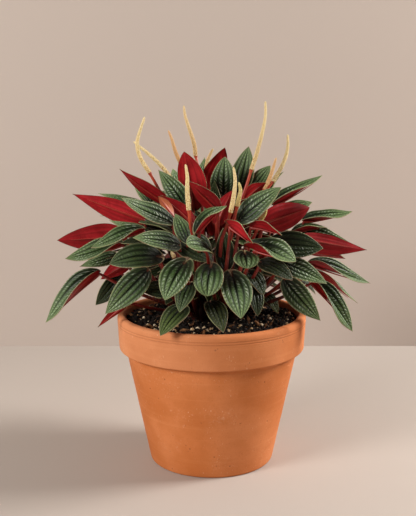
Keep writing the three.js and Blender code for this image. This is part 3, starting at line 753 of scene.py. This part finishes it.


# ---------------------------------------------------------------- leaf blades
# Thick leathery blades, heart-shaped at the base and short-pointed at the tip. The midrib and two
# pairs of curved veins are sunk into the upper face, which is puckered between them. The upper face
# is deep green with painted silvery highlights on its ridges, painted shade in its dips and a pale
# margin, the underside crimson.

BLADE_ROWS = 84
BLADE_HALF_STATIONS = [0, 0.05, 0.14, 0.24, 0.33, 0.42, 0.51, 0.6, 0.69, 0.78, 0.85, 0.91, 0.96, 1]
VEINS = [0, 0.42, 0.78, 1.16]  # across one half, from the midrib outwards; the last is past the margin
RISE, FALL = 0.55, 0.85       # powers that shape the outline towards the base and the tip
SLIM_FALL = 0.3               # how much longer-pointed a slim blade is
ROUND_FALL = 0.28             # and how much blunter a round one
SLIM_FROM, ROUND_FROM = 1.7, 1.35     # their lengths, in widths
LOBE = 0.36                   # how far the heart's lobes reach back, in widths
FLAT_FOLD = 13                # degrees that each half is raised
TWIST_SWING = 7               # degrees by which blades are twisted at random
SWAY = 0.02                   # how far a midrib strays to one side, in lengths
MARGIN_WAVES = (2.2, 3.4)     # fewest and most half waves along a margin
MARGIN_WAVE = 0.03            # how far the margin waves, in widths
MARGIN_DROP = 0.04            # and how far it turns down
LEAST_HALF_WIDTH = 0.2
CROWDING = 0.35               # how much closer the rows lie towards base and tip
MIDRIB_EDGE = 12              # how sharply the halves part at the midrib
VEINS_END = 0.985             # share of the length where the veins stop
QUILT = 0.04                  # how deep the veins lie, in half-widths
PUCKER = 0.22                 # how high the small cross puckers stand
PUCKER_STEP = 2.4             # and how far apart
PUCKER_SLANT = 0.95
STROKE_STEP = 2.5             # how far apart the painted highlight strokes lie
STROKE_SLANT = 1.1
BACK_RELIEF = 0.5             # how much of it the underside shows
BLADE_HALF_THICKNESS = 0.36
MARGIN_HALF_THICKNESS = 0.14
YOUNG_WIDTH, YOUNG_HEIGHT = 9, 150    # a young leaf is narrower than this and grows above it
LEAF_SEEDS = {
    "left": 86, "front_left": 1579, "front_right": 16985, "right": 70,
    "back_right": 44, "back_left": 45, "centre": 46,
}


def blade_frame(leaf, more_twist=0):
    """The blade's midrib as a function of the share along it, with the ways up and across."""
    base, tip, _, roll, arch, *bend = leaf
    twist = math.radians(more_twist + (bend[1] if bend else 0))
    base, tip = np.array(base, dtype=float), np.array(tip, dtype=float)
    along = unit(tip - base)
    middle = (base + tip) / 2
    up = np.array([0, 0, 1]) - 0.5 * along[2] * outwards_from((0, 0), middle)
    up = unit(up - up.dot(along) * along)
    angle = math.radians(roll)
    up = up * math.cos(angle) + np.cross(along, up) * math.sin(angle)
    control = middle + 2 * arch * up

    def frame_at(u):
        u = np.asarray(u, dtype=float)[..., None]
        tangent = unit((1 - u) * (control - base) + u * (tip - control))
        normal = unit(up - (tangent @ up)[..., None] * tangent)
        normal = normal * np.cos(twist * u) + np.cross(tangent, normal) * np.sin(twist * u)
        return bent(base, control, tip, u), tangent, normal, np.cross(tangent, normal)

    return frame_at


def quilting(reach):
    """Height across the blade between its veins: 0 in a vein, 1 on the ridge beside it."""
    height = np.zeros_like(reach)
    for near, far in zip(VEINS, VEINS[1:]):
        inside = (reach >= near) & (reach < far)
        height[inside] = np.sin(math.pi * (reach[inside] - near) / (far - near)) ** 0.45
    return height


def puckering(across, run, u, phase):
    """Height of the puckers: uneven ripples that run out from the midrib and slant to the tip."""
    slanted = run - PUCKER_SLANT * across
    wander = 0.35 * np.sin(0.9 * across + phase[0] + 5 * u) + 0.3 * np.sin(13 * u + phase[1])
    turn = 2 * math.pi * (slanted / PUCKER_STEP + wander) + phase[2]
    ripple = 0.7 * np.sin(turn) + 0.45 * np.sin(1.63 * turn + phase[0])
    swell = np.sin(14 * u + 0.9 * across + phase[1]) * np.sin(0.7 * across - 9 * u + phase[0])
    return ripple * (0.5 + 0.5 * swell)


def blade_sheet(leaf, draws, rows):
    """The upper and lower faces of a blade on one grid, with the values that its colours follow."""
    base, tip, width = leaf[:3]
    fold = leaf[5] if len(leaf) > 5 else FLAT_FOLD
    length = math.dist(base, tip)
    phases = draws.uniform(0, 2 * math.pi, 6)
    swing = draws.uniform(-1, 1, 3)
    waves = draws.uniform(*MARGIN_WAVES)
    even = np.linspace(0, 1, rows + 1)
    u = (1 - CROWDING) * even + CROWDING * (0.5 - 0.5 * np.cos(math.pi * even))
    halves = np.array(BLADE_HALF_STATIONS)
    u, v = np.meshgrid(u, np.concatenate([-halves[:0:-1], halves]), indexing="ij")
    reach = np.abs(v)
    slimness = length / width
    slim = np.clip(slimness - SLIM_FROM, 0, 1)
    stout = np.clip((ROUND_FROM - slimness) / 0.4, 0, 1)
    fall = FALL + SLIM_FALL * slim - ROUND_FALL * stout
    widest = RISE / (RISE + fall)
    outline = (u / widest) ** RISE * (np.maximum(1 - u, 0) / (1 - widest)) ** fall
    half = np.maximum(width / 2 * outline, LEAST_HALF_WIDTH)
    fullness = np.clip(outline, 0, 1)
    across = half * reach

    # Each half rises from the midrib, more where the leaf is folded, and its margin waves.
    folding = np.radians(FLAT_FOLD + (fold - FLAT_FOLD) * (1 - u))
    margin_wave = np.sin(waves * math.pi * u + phases[0] + 1.5 * np.sign(v))
    height = half * np.sin(folding) * reach ** 0.75
    height += width * (MARGIN_WAVE * reach ** 2 * margin_wave - MARGIN_DROP * reach ** 6) * fullness
    sideways = half * v * np.cos(folding) + SWAY * length * swing[1] * np.sin(math.pi * u)
    back = -LOBE * width * np.clip((2.1 - slimness) / 0.7, 0.25, 1) * reach ** 2 * (1 - u) ** 7
    point, tangent, normal, side = blade_frame(leaf, TWIST_SWING * swing[0])(u)
    middle = point + side * sideways[..., None] + normal * height[..., None] + tangent * back[..., None]
    turned = np.tanh(v * MIDRIB_EDGE)
    rising = np.cos(folding) * np.abs(turned) + (1 - np.abs(turned)) / np.cos(folding)
    facing = normal * rising[..., None] - side * (turned * np.sin(folding))[..., None]

    # The veins run out from the base and in again to the tip, and the puckers lie between them.
    ridge = quilting(reach)
    phase = phases[:3, None, None] + phases[3:, None, None] * (v > 0)
    smooth_margin = 1 - 0.85 * reach ** 5
    pucker = puckering(across, u * length, u, phase) * ridge ** 0.5 * smooth_margin
    pucker *= np.clip(1.6 * fullness, 0, 1)
    crest = 2 * ridge * (0.35 + 0.65 * fullness) - 1
    relief = QUILT * half * crest * fullness + PUCKER * pucker
    thickening = (BLADE_HALF_THICKNESS - MARGIN_HALF_THICKNESS) * (1 - reach ** 4) * fullness
    thickness = MARGIN_HALF_THICKNESS + thickening
    upper = middle + facing * (thickness + relief)[..., None]
    lower = middle - facing * (thickness - BACK_RELIEF * relief)[..., None]
    return upper, lower, {
        "reach": reach,
        "half_width": half * (u < VEINS_END),
        "pucker": pucker,
        "along": u,
        "run": u * length,
        "near_base": np.hypot(u * length, across) / (width / 2),
    }


def blade_faces(rows, columns):
    """Faces of the upper grid, the lower grid and the margin between them, all facing outwards."""
    index = np.arange(rows * columns).reshape(rows, columns)
    near, far = index[:-1], index[1:]
    upper = np.stack([near[:, :-1], near[:, 1:], far[:, 1:], far[:, :-1]], axis=-1).reshape(-1, 4)
    lower = upper[:, ::-1] + rows * columns
    rim = np.concatenate([index[0, :], index[1:, -1], index[-1, -2::-1], index[-2:0:-1, 0]])
    after = np.roll(rim, -1)
    margin = np.stack([after, rim, rim + rows * columns, after + rows * columns], axis=-1)
    return upper, lower, margin


def leaf_values(leaf, tone):
    """Values of a whole leaf: a tone that darkens it, random but with painted shade added in the heart of
    the plant, browner low down, or young.
    """
    (x, y, z), width = leaf[0], leaf[2]
    # Leaves low in the heart of the plant get a darker tone: painted shade.
    inside, low = np.clip((60 - math.hypot(x, y)) / 25, 0, 1), np.clip((172 - z) / 25, 0, 1)
    return {
        "tone": min(1, tone + 0.9 * inside * low),
        "young": float(width < YOUNG_WIDTH and z > YOUNG_HEIGHT),
        "age": np.clip((126 - z) / 8, 0, 1),
    }


def blades_mesh(name, leaves, seed, blade_rows):
    """All blades of a shoot in one mesh, with its faces' finishes and its points' values."""
    draws = np.random.default_rng(seed)
    rows, columns = blade_rows + 1, 2 * len(BLADE_HALF_STATIONS) - 1
    groups = blade_faces(rows, columns)
    faces_each = np.concatenate(groups)
    side_each = np.repeat([0, 1, 0], [len(group) for group in groups])
    points, faces, values = [], [], {}
    tones = draws.uniform(size=len(leaves))
    for number, leaf in enumerate(leaves):
        upper, lower, own = blade_sheet(leaf, draws, blade_rows)
        for label, value in leaf_values(leaf, tones[number]).items():
            own[label] = np.full((rows, columns), value)
        faces.append(faces_each + number * 2 * rows * columns)
        points += [upper.reshape(-1, 3), lower.reshape(-1, 3)]
        for label, field in own.items():
            values.setdefault(label, []).extend([field.ravel(), field.ravel()])
    mesh = new_mesh(name, (np.concatenate(points) * MM).tolist(), [], np.concatenate(faces).tolist())
    for label, fields in values.items():
        point_values(mesh, label, np.concatenate(fields))
    mesh.polygons.foreach_set("material_index", np.tile(side_each, len(leaves)).astype(np.int32))
    mesh.polygons.foreach_set("use_smooth", np.ones(len(mesh.polygons), dtype=bool))
    return mesh


def values_of(shader, *labels):
    """Sockets with the values that the points carry."""
    tree = shader.id_data
    return [node(tree, "ShaderNodeAttribute", attribute_name=label).outputs["Fac"] for label in labels]


def vein_pattern(shader):
    """How far a spot lies in a vein or beside one, and how far it is from the margin in mm."""
    reach, half_width, along = values_of(shader, "reach", "half_width", "along")
    width = times(half_width, span(along, 0.1, 0.7, 0.2, 0.06))
    vein = beside = 0.0
    for near in VEINS[:-1]:
        apart = away(reach, near)
        gap = calc("DIVIDE", times(apart, half_width), width)
        vein = calc("MAXIMUM", vein, span(gap, 1.0, 0.1, 0, 1 - 0.5 * near))
        # beside: a soft band along each vein, used for painted shade on the upper face
        beside = calc("MAXIMUM", beside, span(apart, 0.22, 0.03, 0, 1 - 0.4 * near))
    return vein, beside, times(half_width, calc("SUBTRACT", 1.0, reach))


def sheen_strokes(shader, place):
    """Painted highlight strokes that slant from the midrib to the margin on the ridges, and the dips between
    them for painted shade.
    """
    reach, half_width, run = values_of(shader, "reach", "half_width", "run")
    wobble = span(noise_at(place, 210, 2), 0.2, 0.8, -1.4, 1.4)
    slanted = calc("ADD", calc("SUBTRACT", run, times(reach, half_width, STROKE_SLANT)), wobble)
    wave = calc("SINE", times(slanted, 2 * math.pi / STROKE_STEP))
    spread = span(half_width, 1.5, 4)
    for near in VEINS[:-1]:
        spread = times(spread, span(away(reach, near), 0.05, 0.16))
    stroke = times(span(wave, 0.25, 0.95), spread, span(noise_at(place, 110, 2), 0.42, 0.62))
    return stroke, times(span(wave, -0.1, -0.9), spread)


def leaf_top_finish():
    """Upper face: near-black at the base, partly its own colour and partly painted shade, near-black in the
    veins, green that yellows towards the tip, with painted shade in its dips and beside the veins and
    painted sheen and highlights on its ridges.
    """
    material, shader = finish_shader("leaf_upper_face", {"Specular IOR Level": 0.22})
    place = surface_place(shader)
    along, tone, near_base, age, pucker = values_of(shader, "along", "tone", "near_base", "age", "pucker")
    vein, beside, margin = vein_pattern(shader)
    stroke, band = sheen_strokes(shader, place)
    grain = noise_at(place, 900, 2)
    pucker = calc("ADD", pucker, span(grain, 0.3, 0.7, -0.12, 0.12))
    # painted sheen on the crests of the puckers, weaker on dark-toned leaves
    ridge_sheen = times(span(pucker, 0.05, 0.8), span(tone, 0.1, 0.8, 0.8, 0.2), 0.6)
    # darker round the base: partly the leaf's own colour, partly painted shade
    dark_and_shaded_base = times(span(near_base, 0.9, 0.2, 0, 0.9), span(tone, 0.1, 0.6, 0.45, 1))
    olive = layered("#1c190a", (span(along, 0.1, 0.9), "#57601f"))
    rim = layered("#a1a676", (span(noise_at(place, 130), 0.4, 0.6), "#9c8066"))
    green = layered(
        # near-black towards the base, partly painted shade, to green that yellows towards the tip
        "#1c2b13",
        (span(along, 0.0, 0.5), "#425b2e"),
        (span(along, 0.25, 0.95), "#839c66"),
        (span(margin, 3.0, 0.6, 0, 0.4), "#87996a"),
        # painted shade in the dips of the puckers, then painted sheen on their crests
        (span(pucker, 0.1, -0.9, 0, 0.8), "#1d2e15"),
        (ridge_sheen, "#a9bb99"),
        # painted shade in the dips between the strokes, then the painted highlight strokes
        (times(band, 0.35), "#24371c"),
        (times(stroke, span(tone, 0.15, 0.8, 0.85, 0.2)), "#c6d0bc"),
        # dark-toned leaves: partly a random tone, partly painted shade in the heart of the plant
        (span(tone, 0.8, 0.95, 0, 0.85), "#191f0d"),
        (times(age, 0.65), olive),
        # painted shade beside the veins
        (times(beside, 0.7), "#16240f"),
        (times(vein, 0.92), "#0e1309"),
        # the dark base, partly painted shade
        (dark_and_shaded_base, "#0b0d06"),
        (span(near_base, 0.14, 0.08, 0, 0.4), "#6a2a18"),
        (span(margin, 0.32, 0.12, 0, 0.75), rim),
    )
    relief = calc("ADD", times(grain, 0.5), calc("SUBTRACT", stroke, band))
    fine = bumped(relief, 0.5, 0.5)
    sunk = bumped(vein, 0.5, 0.5, invert=True)
    feed(sunk.node, {"Normal": fine})
    feed(shader, {
        "Base Color": green, "Normal": sunk,
        "Roughness": calc("ADD", span(pucker, -0.5, 0.8, 0.46, 0.28), times(dark_and_shaded_base, 0.3)),
    })
    return material


def leaf_back_finish():
    """Underside: crimson with paler clouds, darker along the veins, and a thin dark edge, with painted shade
    in the dips of the puckers and painted light on their crests. A young leaf is salmon."""
    material, shader = finish_shader("leaf_underside", {"Roughness": 0.42, "Specular IOR Level": 0.22})
    along, tone, pucker, young = values_of(shader, "along", "tone", "pucker", "young")
    vein, _, margin = vein_pattern(shader)
    clouds = noise_at(surface_place(shader), 110, 4, 0.6)
    red = layered(
        "#8c1318",
        (span(clouds, 0.3, 0.7), "#b02228"),
        # darker on dark-toned leaves: partly a random tone, partly painted shade
        (span(tone, 0.4, 1, 0, 0.4), "#700a0e"),
        (times(vein, 0.5), "#5a0809"),
        # painted shade in the dips of the puckers and painted light on their crests
        (span(pucker, -0.1, -1, 0, 0.35), "#6a0a0c"),
        (span(pucker, 0.2, 0.9, 0, 0.45), "#bd363a"),
        (span(along, 0.25, 0, 0, 0.45), "#5c0909"),
        (times(young, 0.8), "#c9764f"),
        (span(margin, 0.4, 0.15, 0, 0.8), "#4a2816"),
    )
    feed(shader, {"Base Color": red, "Normal": bumped(clouds, 0.3, 0.5)})
    return material


leaf_finishes = (leaf_top_finish(), leaf_back_finish())


def grown_leaves(name, shoot_name, leaves, seed, rows=BLADE_ROWS):
    mesh = blades_mesh(name, leaves, seed, rows)
    for finish in leaf_finishes:
        mesh.materials.append(finish)
    part_of_plant(linked(name, mesh), "foliage", f"shoot_{shoot_name}")


for shoot_name, leaves in LEAVES.items():
    grown_leaves(f"leaves_{shoot_name}", shoot_name, leaves, LEAF_SEEDS[shoot_name])


# ---------------------------------------------------------------- inner leaves
# The small leaves that crowd the heart and the flanks of the plant, in the shade under the large
# ones: tiers round the axis, as on the far side, which close the view through the stalks.

INNER_TIERS = {
    "centre": [
        [9, 170, 370, (20, 124), (38, 117), 14],
        [13, 178, 362, (19, 138), (44, 133), 17],
        [13, 172, 368, (17, 153), (50, 154), 17],
        [10, 0, 324, (8, 160), (27, 178), 15],
        [9, 14, 166, (22, 130), (56, 126), 16],
        [9, 16, 164, (20, 150), (58, 150), 16],
    ],
    "left": [
        [3, 168, 200, (34, 146), (72, 148), 15],
        [3, 172, 206, (34, 154), (68, 157), 15],
        [5, 150, 212, (34, 134), (60, 126), 16],
        [6, 146, 212, (28, 160), (58, 169), 17],
        [4, 150, 210, (16, 170), (36, 183), 15],
    ],
    "right": [
        [5, -34, 34, (34, 134), (60, 126), 16],
        [5, -34, 34, (32, 146), (64, 148), 16],
        [6, -34, 34, (28, 160), (58, 169), 17],
        [4, -30, 30, (16, 170), (36, 183), 15],
    ],
}
INNER_ROWS = 25
INNER_PLACE_SEED, INNER_SHAPE_SEED = 8, 60
INNER_ARCH = 2
INNER_SPREAD = {"azimuth": 7, "place": 3, "width": 2, "roll": 25}


def inner_leaves(tiers):
    draws = np.random.default_rng(INNER_PLACE_SEED)
    leaves = []

    def vary(measure, count=None):
        return draws.uniform(-INNER_SPREAD[measure], INNER_SPREAD[measure], count)

    for count, first, last, base, tip, width in tiers:
        for azimuth in np.linspace(first, last, count):
            start, lean = azimuth + vary("azimuth", 2)
            near, low, far, high = np.array(base + tip) + vary("place", 4)
            ends = [around(start, near, low), around(lean, far, high)]
            leaves.append([*ends, width + vary("width"), vary("roll"), INNER_ARCH])
    return leaves


for shoot_name, tiers in INNER_TIERS.items():
    name = f"inner_leaves_{shoot_name}"
    grown_leaves(name, shoot_name, inner_leaves(tiers), INNER_SHAPE_SEED, INNER_ROWS)


# ---------------------------------------------------------------- crowns, petioles and flower stalks
# Fleshy round stalks that fan out from the short crowns: red, near black at the foot with painted
# shade, and orange-red higher up, partly their own colour and partly painted light. A petiole runs on
# under its blade as the midrib and thins away towards the tip.

CROWN_DEPTH = 15              # how far a crown stands in the mix
CROWN_STEM_RADIUS = 5.4
CROWN_HEAD_RADIUS = 5.5
CROWN_HEAD_STRETCH = 1.5
CROWN_HEAD_START = 7          # how far under the head's middle the stem ends
CROWN_HEAD_STEPS = 8
PETIOLE_BOW = 0.07            # how far it bows outwards, in lengths
PETIOLE_RADII = (1.35, 0.95)  # at the crown and at the blade
PETIOLE_STEPS = 12
MIDRIB_END = 0.8              # of the blade's length
MIDRIB_TIP_RADIUS = 0.12
MIDRIB_STEPS = 14
STALK_RADII = (1.15, 0.9)
STALK_STEPS = 26
STALK_SIDES = 10
COLLAR = 0.45                 # how much a flower stalk widens under its spike
COLLAR_START = 0.93
CROWN_RISE, PETIOLE_RISE, STALK_RISE = 0.2, 1.0, 1.6  # how orange the red is at the top


def crown_line(place):
    """A crown's axis with its radius: a straight stem under an egg-shaped head."""
    bottom = MIX_LEVEL / MM - CROWN_DEPTH
    line = [(place + (0, 0, bottom), CROWN_STEM_RADIUS)]
    line.append((place + (0, 0, CROWN_HEAD_HEIGHT - CROWN_HEAD_START), CROWN_STEM_RADIUS))
    for turn in np.radians(np.linspace(-40, 88, CROWN_HEAD_STEPS + 1)):
        height = CROWN_HEAD_HEIGHT + CROWN_HEAD_RADIUS * CROWN_HEAD_STRETCH * math.sin(turn)
        line.append((place + (0, 0, height), CROWN_HEAD_RADIUS * math.cos(turn)))
    return line


def petiole_line(place, leaf):
    """A petiole's axis with its radius, from the crown to the blade and on below it."""
    base = np.array(leaf[0], dtype=float)
    root = root_on(place, base)
    bow = 2 * PETIOLE_BOW * np.linalg.norm(base - root)
    bend = (root + base) / 2 + bow * outwards_from(place, base)
    thick, thin = PETIOLE_RADII
    shares = np.linspace(0, 1, PETIOLE_STEPS + 1)[:-1]
    line = [(bent(root, bend, base, t), thick + (thin - thick) * t) for t in shares]
    frame_at = blade_frame(leaf)
    for share in np.linspace(0, 1, MIDRIB_STEPS + 1):
        point, _, normal, _ = frame_at(MIDRIB_END * share ** 1.4)
        radius = thin * (1 - share) + MIDRIB_TIP_RADIUS
        sunk = 0.8 + min(1, share * 5) * (0.35 * radius + 0.02 * leaf[2] - 0.2)
        line.append((point - normal * sunk, radius))
    return line


def spline_point(points, t):
    """A smooth line through points, as the solids' own: a Catmull-Rom line, centripetal."""
    share = t * (len(points) - 1)
    first = min(int(share), len(points) - 2)
    weight = share - first
    a, b = points[first], points[first + 1]
    before = points[first - 1] if first > 0 else 2 * a - b
    after = points[first + 2] if first + 2 < len(points) else 2 * b - a
    gaps = [math.sqrt(np.linalg.norm(q - p)) for p, q in ((before, a), (a, b), (b, after))]
    leave = (a - before) / gaps[0] - (b - before) / (gaps[0] + gaps[1]) + (b - a) / gaps[1]
    arrive = (b - a) / gaps[1] - (after - a) / (gaps[1] + gaps[2]) + (after - b) / gaps[2]
    leave, arrive = leave * gaps[1], arrive * gaps[1]
    return (a + leave * weight + (3 * (b - a) - 2 * leave - arrive) * weight ** 2
            + (2 * (a - b) + leave + arrive) * weight ** 3)


def flower_line(place, flower):
    """The line of a flower, and the share along it where the stalk ends and the spike starts."""
    stalk, spike = flower
    points = [np.array(point, dtype=float) for point in stalk + spike]
    joint = (len(stalk) + 1) / len(points)
    return [root_on(place, points[0])] + points, joint


def stalk_line(place, flower):
    """A flower stalk's axis with its radius, ending in a small collar under the spike."""
    points, joint = flower_line(place, flower)
    thick, thin = STALK_RADII
    line = []
    for share in np.linspace(0, 1, STALK_STEPS + 1):
        collar = COLLAR * max(0, share - COLLAR_START) / (1 - COLLAR_START)
        line.append((spline_point(points, joint * share), thick + (thin - thick) * share + collar))
    return line


def swept(given, sides, tilt=None):
    """A round rod along each line, as thick as its points say, with closed ends."""
    tree = given["Geometry"].id_data
    lines = node(tree, "GeometryNodeMeshToCurve", {"Mesh": given["Geometry"]})
    girth = node(tree, "GeometryNodeInputNamedAttribute", {"Name": "girth"}, data_type="FLOAT")
    if tilt:
        lines = node(tree, "GeometryNodeSetCurveTilt", {"Curve": lines, "Tilt": tilt})
    section = node(tree, "GeometryNodeCurvePrimitiveCircle", {"Resolution": sides, "Radius": 1.0})
    return node(tree, "GeometryNodeCurveToMesh", {
        "Curve": lines, "Profile Curve": section, "Fill Caps": True, "Scale": girth,
    })


def stalk_finish():
    """Juicy red skin, orange-red where it is young and where painted light falls, and near black at the foot
    with painted shade.
    """
    material, shader = finish_shader("red_stalks", {"Roughness": 0.38, "Specular IOR Level": 0.5})
    rise, = values_of(shader, "rise")
    streak = noise_at(stretched(surface_place(shader), (600, 600, 90)), 1, 3)
    feed(shader, {"Base Color": layered(
        # near black at the foot: painted shade; orange-red higher up: partly painted light
        "#280909",
        (span(rise, 0.0, 0.75), "#96241a"),
        (span(rise, 0.7, 1.5), "#b8472a"),
        (span(streak, 0.45, 0.75, 0, 0.3), "#b04a28"),
    )})
    return material


def thick_lines(name, lines, rises, **more):
    """Lines of points with their radii in millimetres, as a mesh of bare edges."""
    return line_mesh(
        name, [[tuple(point * MM) for point, _ in line] for line in lines],
        girth=[radius * MM for line in lines for _, radius in line], rise=rises, **more,
    )


rod_tree, rod_given, rod_last = group_tree("round_rods", {"Sides": "Int"})
close_tree(rod_given, rod_last, swept(rod_given, rod_given["Sides"]))
red_stalks = stalk_finish()
for shoot_name, leaves in LEAVES.items():
    place = crown_place(shoot_name)
    lines = [(CROWN_RISE, crown_line(place))]
    lines += [(PETIOLE_RISE, petiole_line(place, leaf)) for leaf in leaves]
    lines += [(STALK_RISE, stalk_line(place, flower)) for flower in FLOWERS.get(shoot_name, [])]
    rises = [top * share for top, line in lines for share in np.linspace(0, 1, len(line))]
    mesh = thick_lines(f"stalk_lines_{shoot_name}", [line for _, line in lines], rises)
    stalks = worked(f"stalks_{shoot_name}", mesh, rod_tree, Sides=STALK_SIDES, Finish=red_stalks)
    part_of_plant(stalks, "foliage", f"shoot_{shoot_name}")


# ---------------------------------------------------------------- flower spikes
# Cream rat-tail spikes, blunt at the tip, on their red stalks. A slim core is packed all over with
# tiny florets in rows that wind round it.

SPIKE_RADII = (1.25, 0.45)    # of the core, at the foot and at the tip
SPIKE_GAP = 0.3               # between the stalk and the spike
SPIKE_SAMPLES = 200           # points at which a spike's length is measured
BLUNT_END = 1.2               # how long the rounded end is
FLORET_STEP = 0.5             # between the rings of florets
FLORETS_ROUND = 13
FLORET_RADIUS = 0.3
FLORET_SCALES = (0.8, 1.15)   # smallest and largest
SPIKE_TINTS = {4: -0.7, 5: -1, 8: 1, 9: 0.4, 10: 0.5, 13: 0.8}  # tan above 0, greenish below


def spike_line(place, flower):
    """A spike's axis with its radius, and its shares along, in steps of one ring of florets."""
    points, joint = flower_line(place, flower)
    nearby = 0.01
    speed = np.linalg.norm(spline_point(points, joint + nearby) - spline_point(points, joint)) / nearby
    starts = np.linspace(joint + SPIKE_GAP / speed, 1, SPIKE_SAMPLES)
    places = np.array([spline_point(points, t) for t in starts])
    lengths = np.concatenate([[0], np.cumsum(np.linalg.norm(np.diff(places, axis=0), axis=1))])
    whole = lengths[-1]
    shares = np.linspace(0, 1, max(4, round(whole / FLORET_STEP)) + 1)
    foot, tip = SPIKE_RADII
    line = []
    for share in shares:
        point = np.array([np.interp(share * whole, lengths, places[:, k]) for k in range(3)])
        past = max(0, share * whole - whole + BLUNT_END)
        blunt = math.sqrt(max(0.02, 1 - past ** 2 / 1.5))
        line.append((point, (foot + (tip - foot) * share ** 2) * blunt))
    return line, shares


def spike_tree():
    """A rod along the line, with a floret on every point of its skin, row by row."""
    tree, given, last = group_tree("floret_spike", {"Round": "Int", "Floret": "Float"})
    order = node(tree, "GeometryNodeInputIndex").outputs[0]
    core = swept(given, given["Round"], tilt=times(order, calc("DIVIDE", math.pi, given["Round"])))
    least, most = FLORET_SCALES
    size = node(tree, "FunctionNodeRandomValue", {2: least, 3: most, "Seed": 5}, data_type="FLOAT")
    floret = node(tree, "GeometryNodeMeshIcoSphere", {"Radius": given["Floret"], "Subdivisions": 1})
    florets = node(tree, "GeometryNodeInstanceOnPoints", {
        "Points": core, "Instance": floret, "Scale": size.outputs[1],
    })
    both = node(tree, "GeometryNodeJoinGeometry")
    feed(both, {0: core})
    feed(both, {0: florets})
    return close_tree(given, last, both)


def spike_finish():
    """Waxy cream florets with paler specks, some spikes tan and some greenish, and browner patches towards
    the foot.
    """
    material, shader = finish_shader("cream_florets", {"Roughness": 0.6, "Specular IOR Level": 0.3})
    place = surface_place(shader)
    rise, tint = values_of(shader, "rise", "tint")
    feed(shader, {"Base Color": layered(
        "#e3c88a",
        (span(noise_at(place, 1500, 2), 0.35, 0.65), "#f6e6bb"),
        (span(tint, 0, 1, 0, 0.6), "#d89a66"),
        (span(tint, 0, -1, 0, 0.6), "#c9bb62"),
        (times(span(rise, 0.75, 0.0), span(noise_at(place, 1400), 0.52, 0.62)), "#b57433"),
    )})
    return material


spikes = spike_tree()
cream_florets = spike_finish()
placed_flowers = [(crown_place(name), flower) for name, row in FLOWERS.items() for flower in row]
for number, (place, flower) in enumerate(placed_flowers, 1):
    line, shares = spike_line(place, flower)
    tint = [SPIKE_TINTS.get(number, 0)] * len(line)
    spike = worked(
        f"florets_{number:02}", thick_lines(f"spike_line_{number:02}", [line], shares, tint=tint), spikes,
        Round=FLORETS_ROUND, Floret=FLORET_RADIUS * MM, Finish=cream_florets,
    )
    part_of_plant(spike, "flower", f"flower_spike_{number:02}")
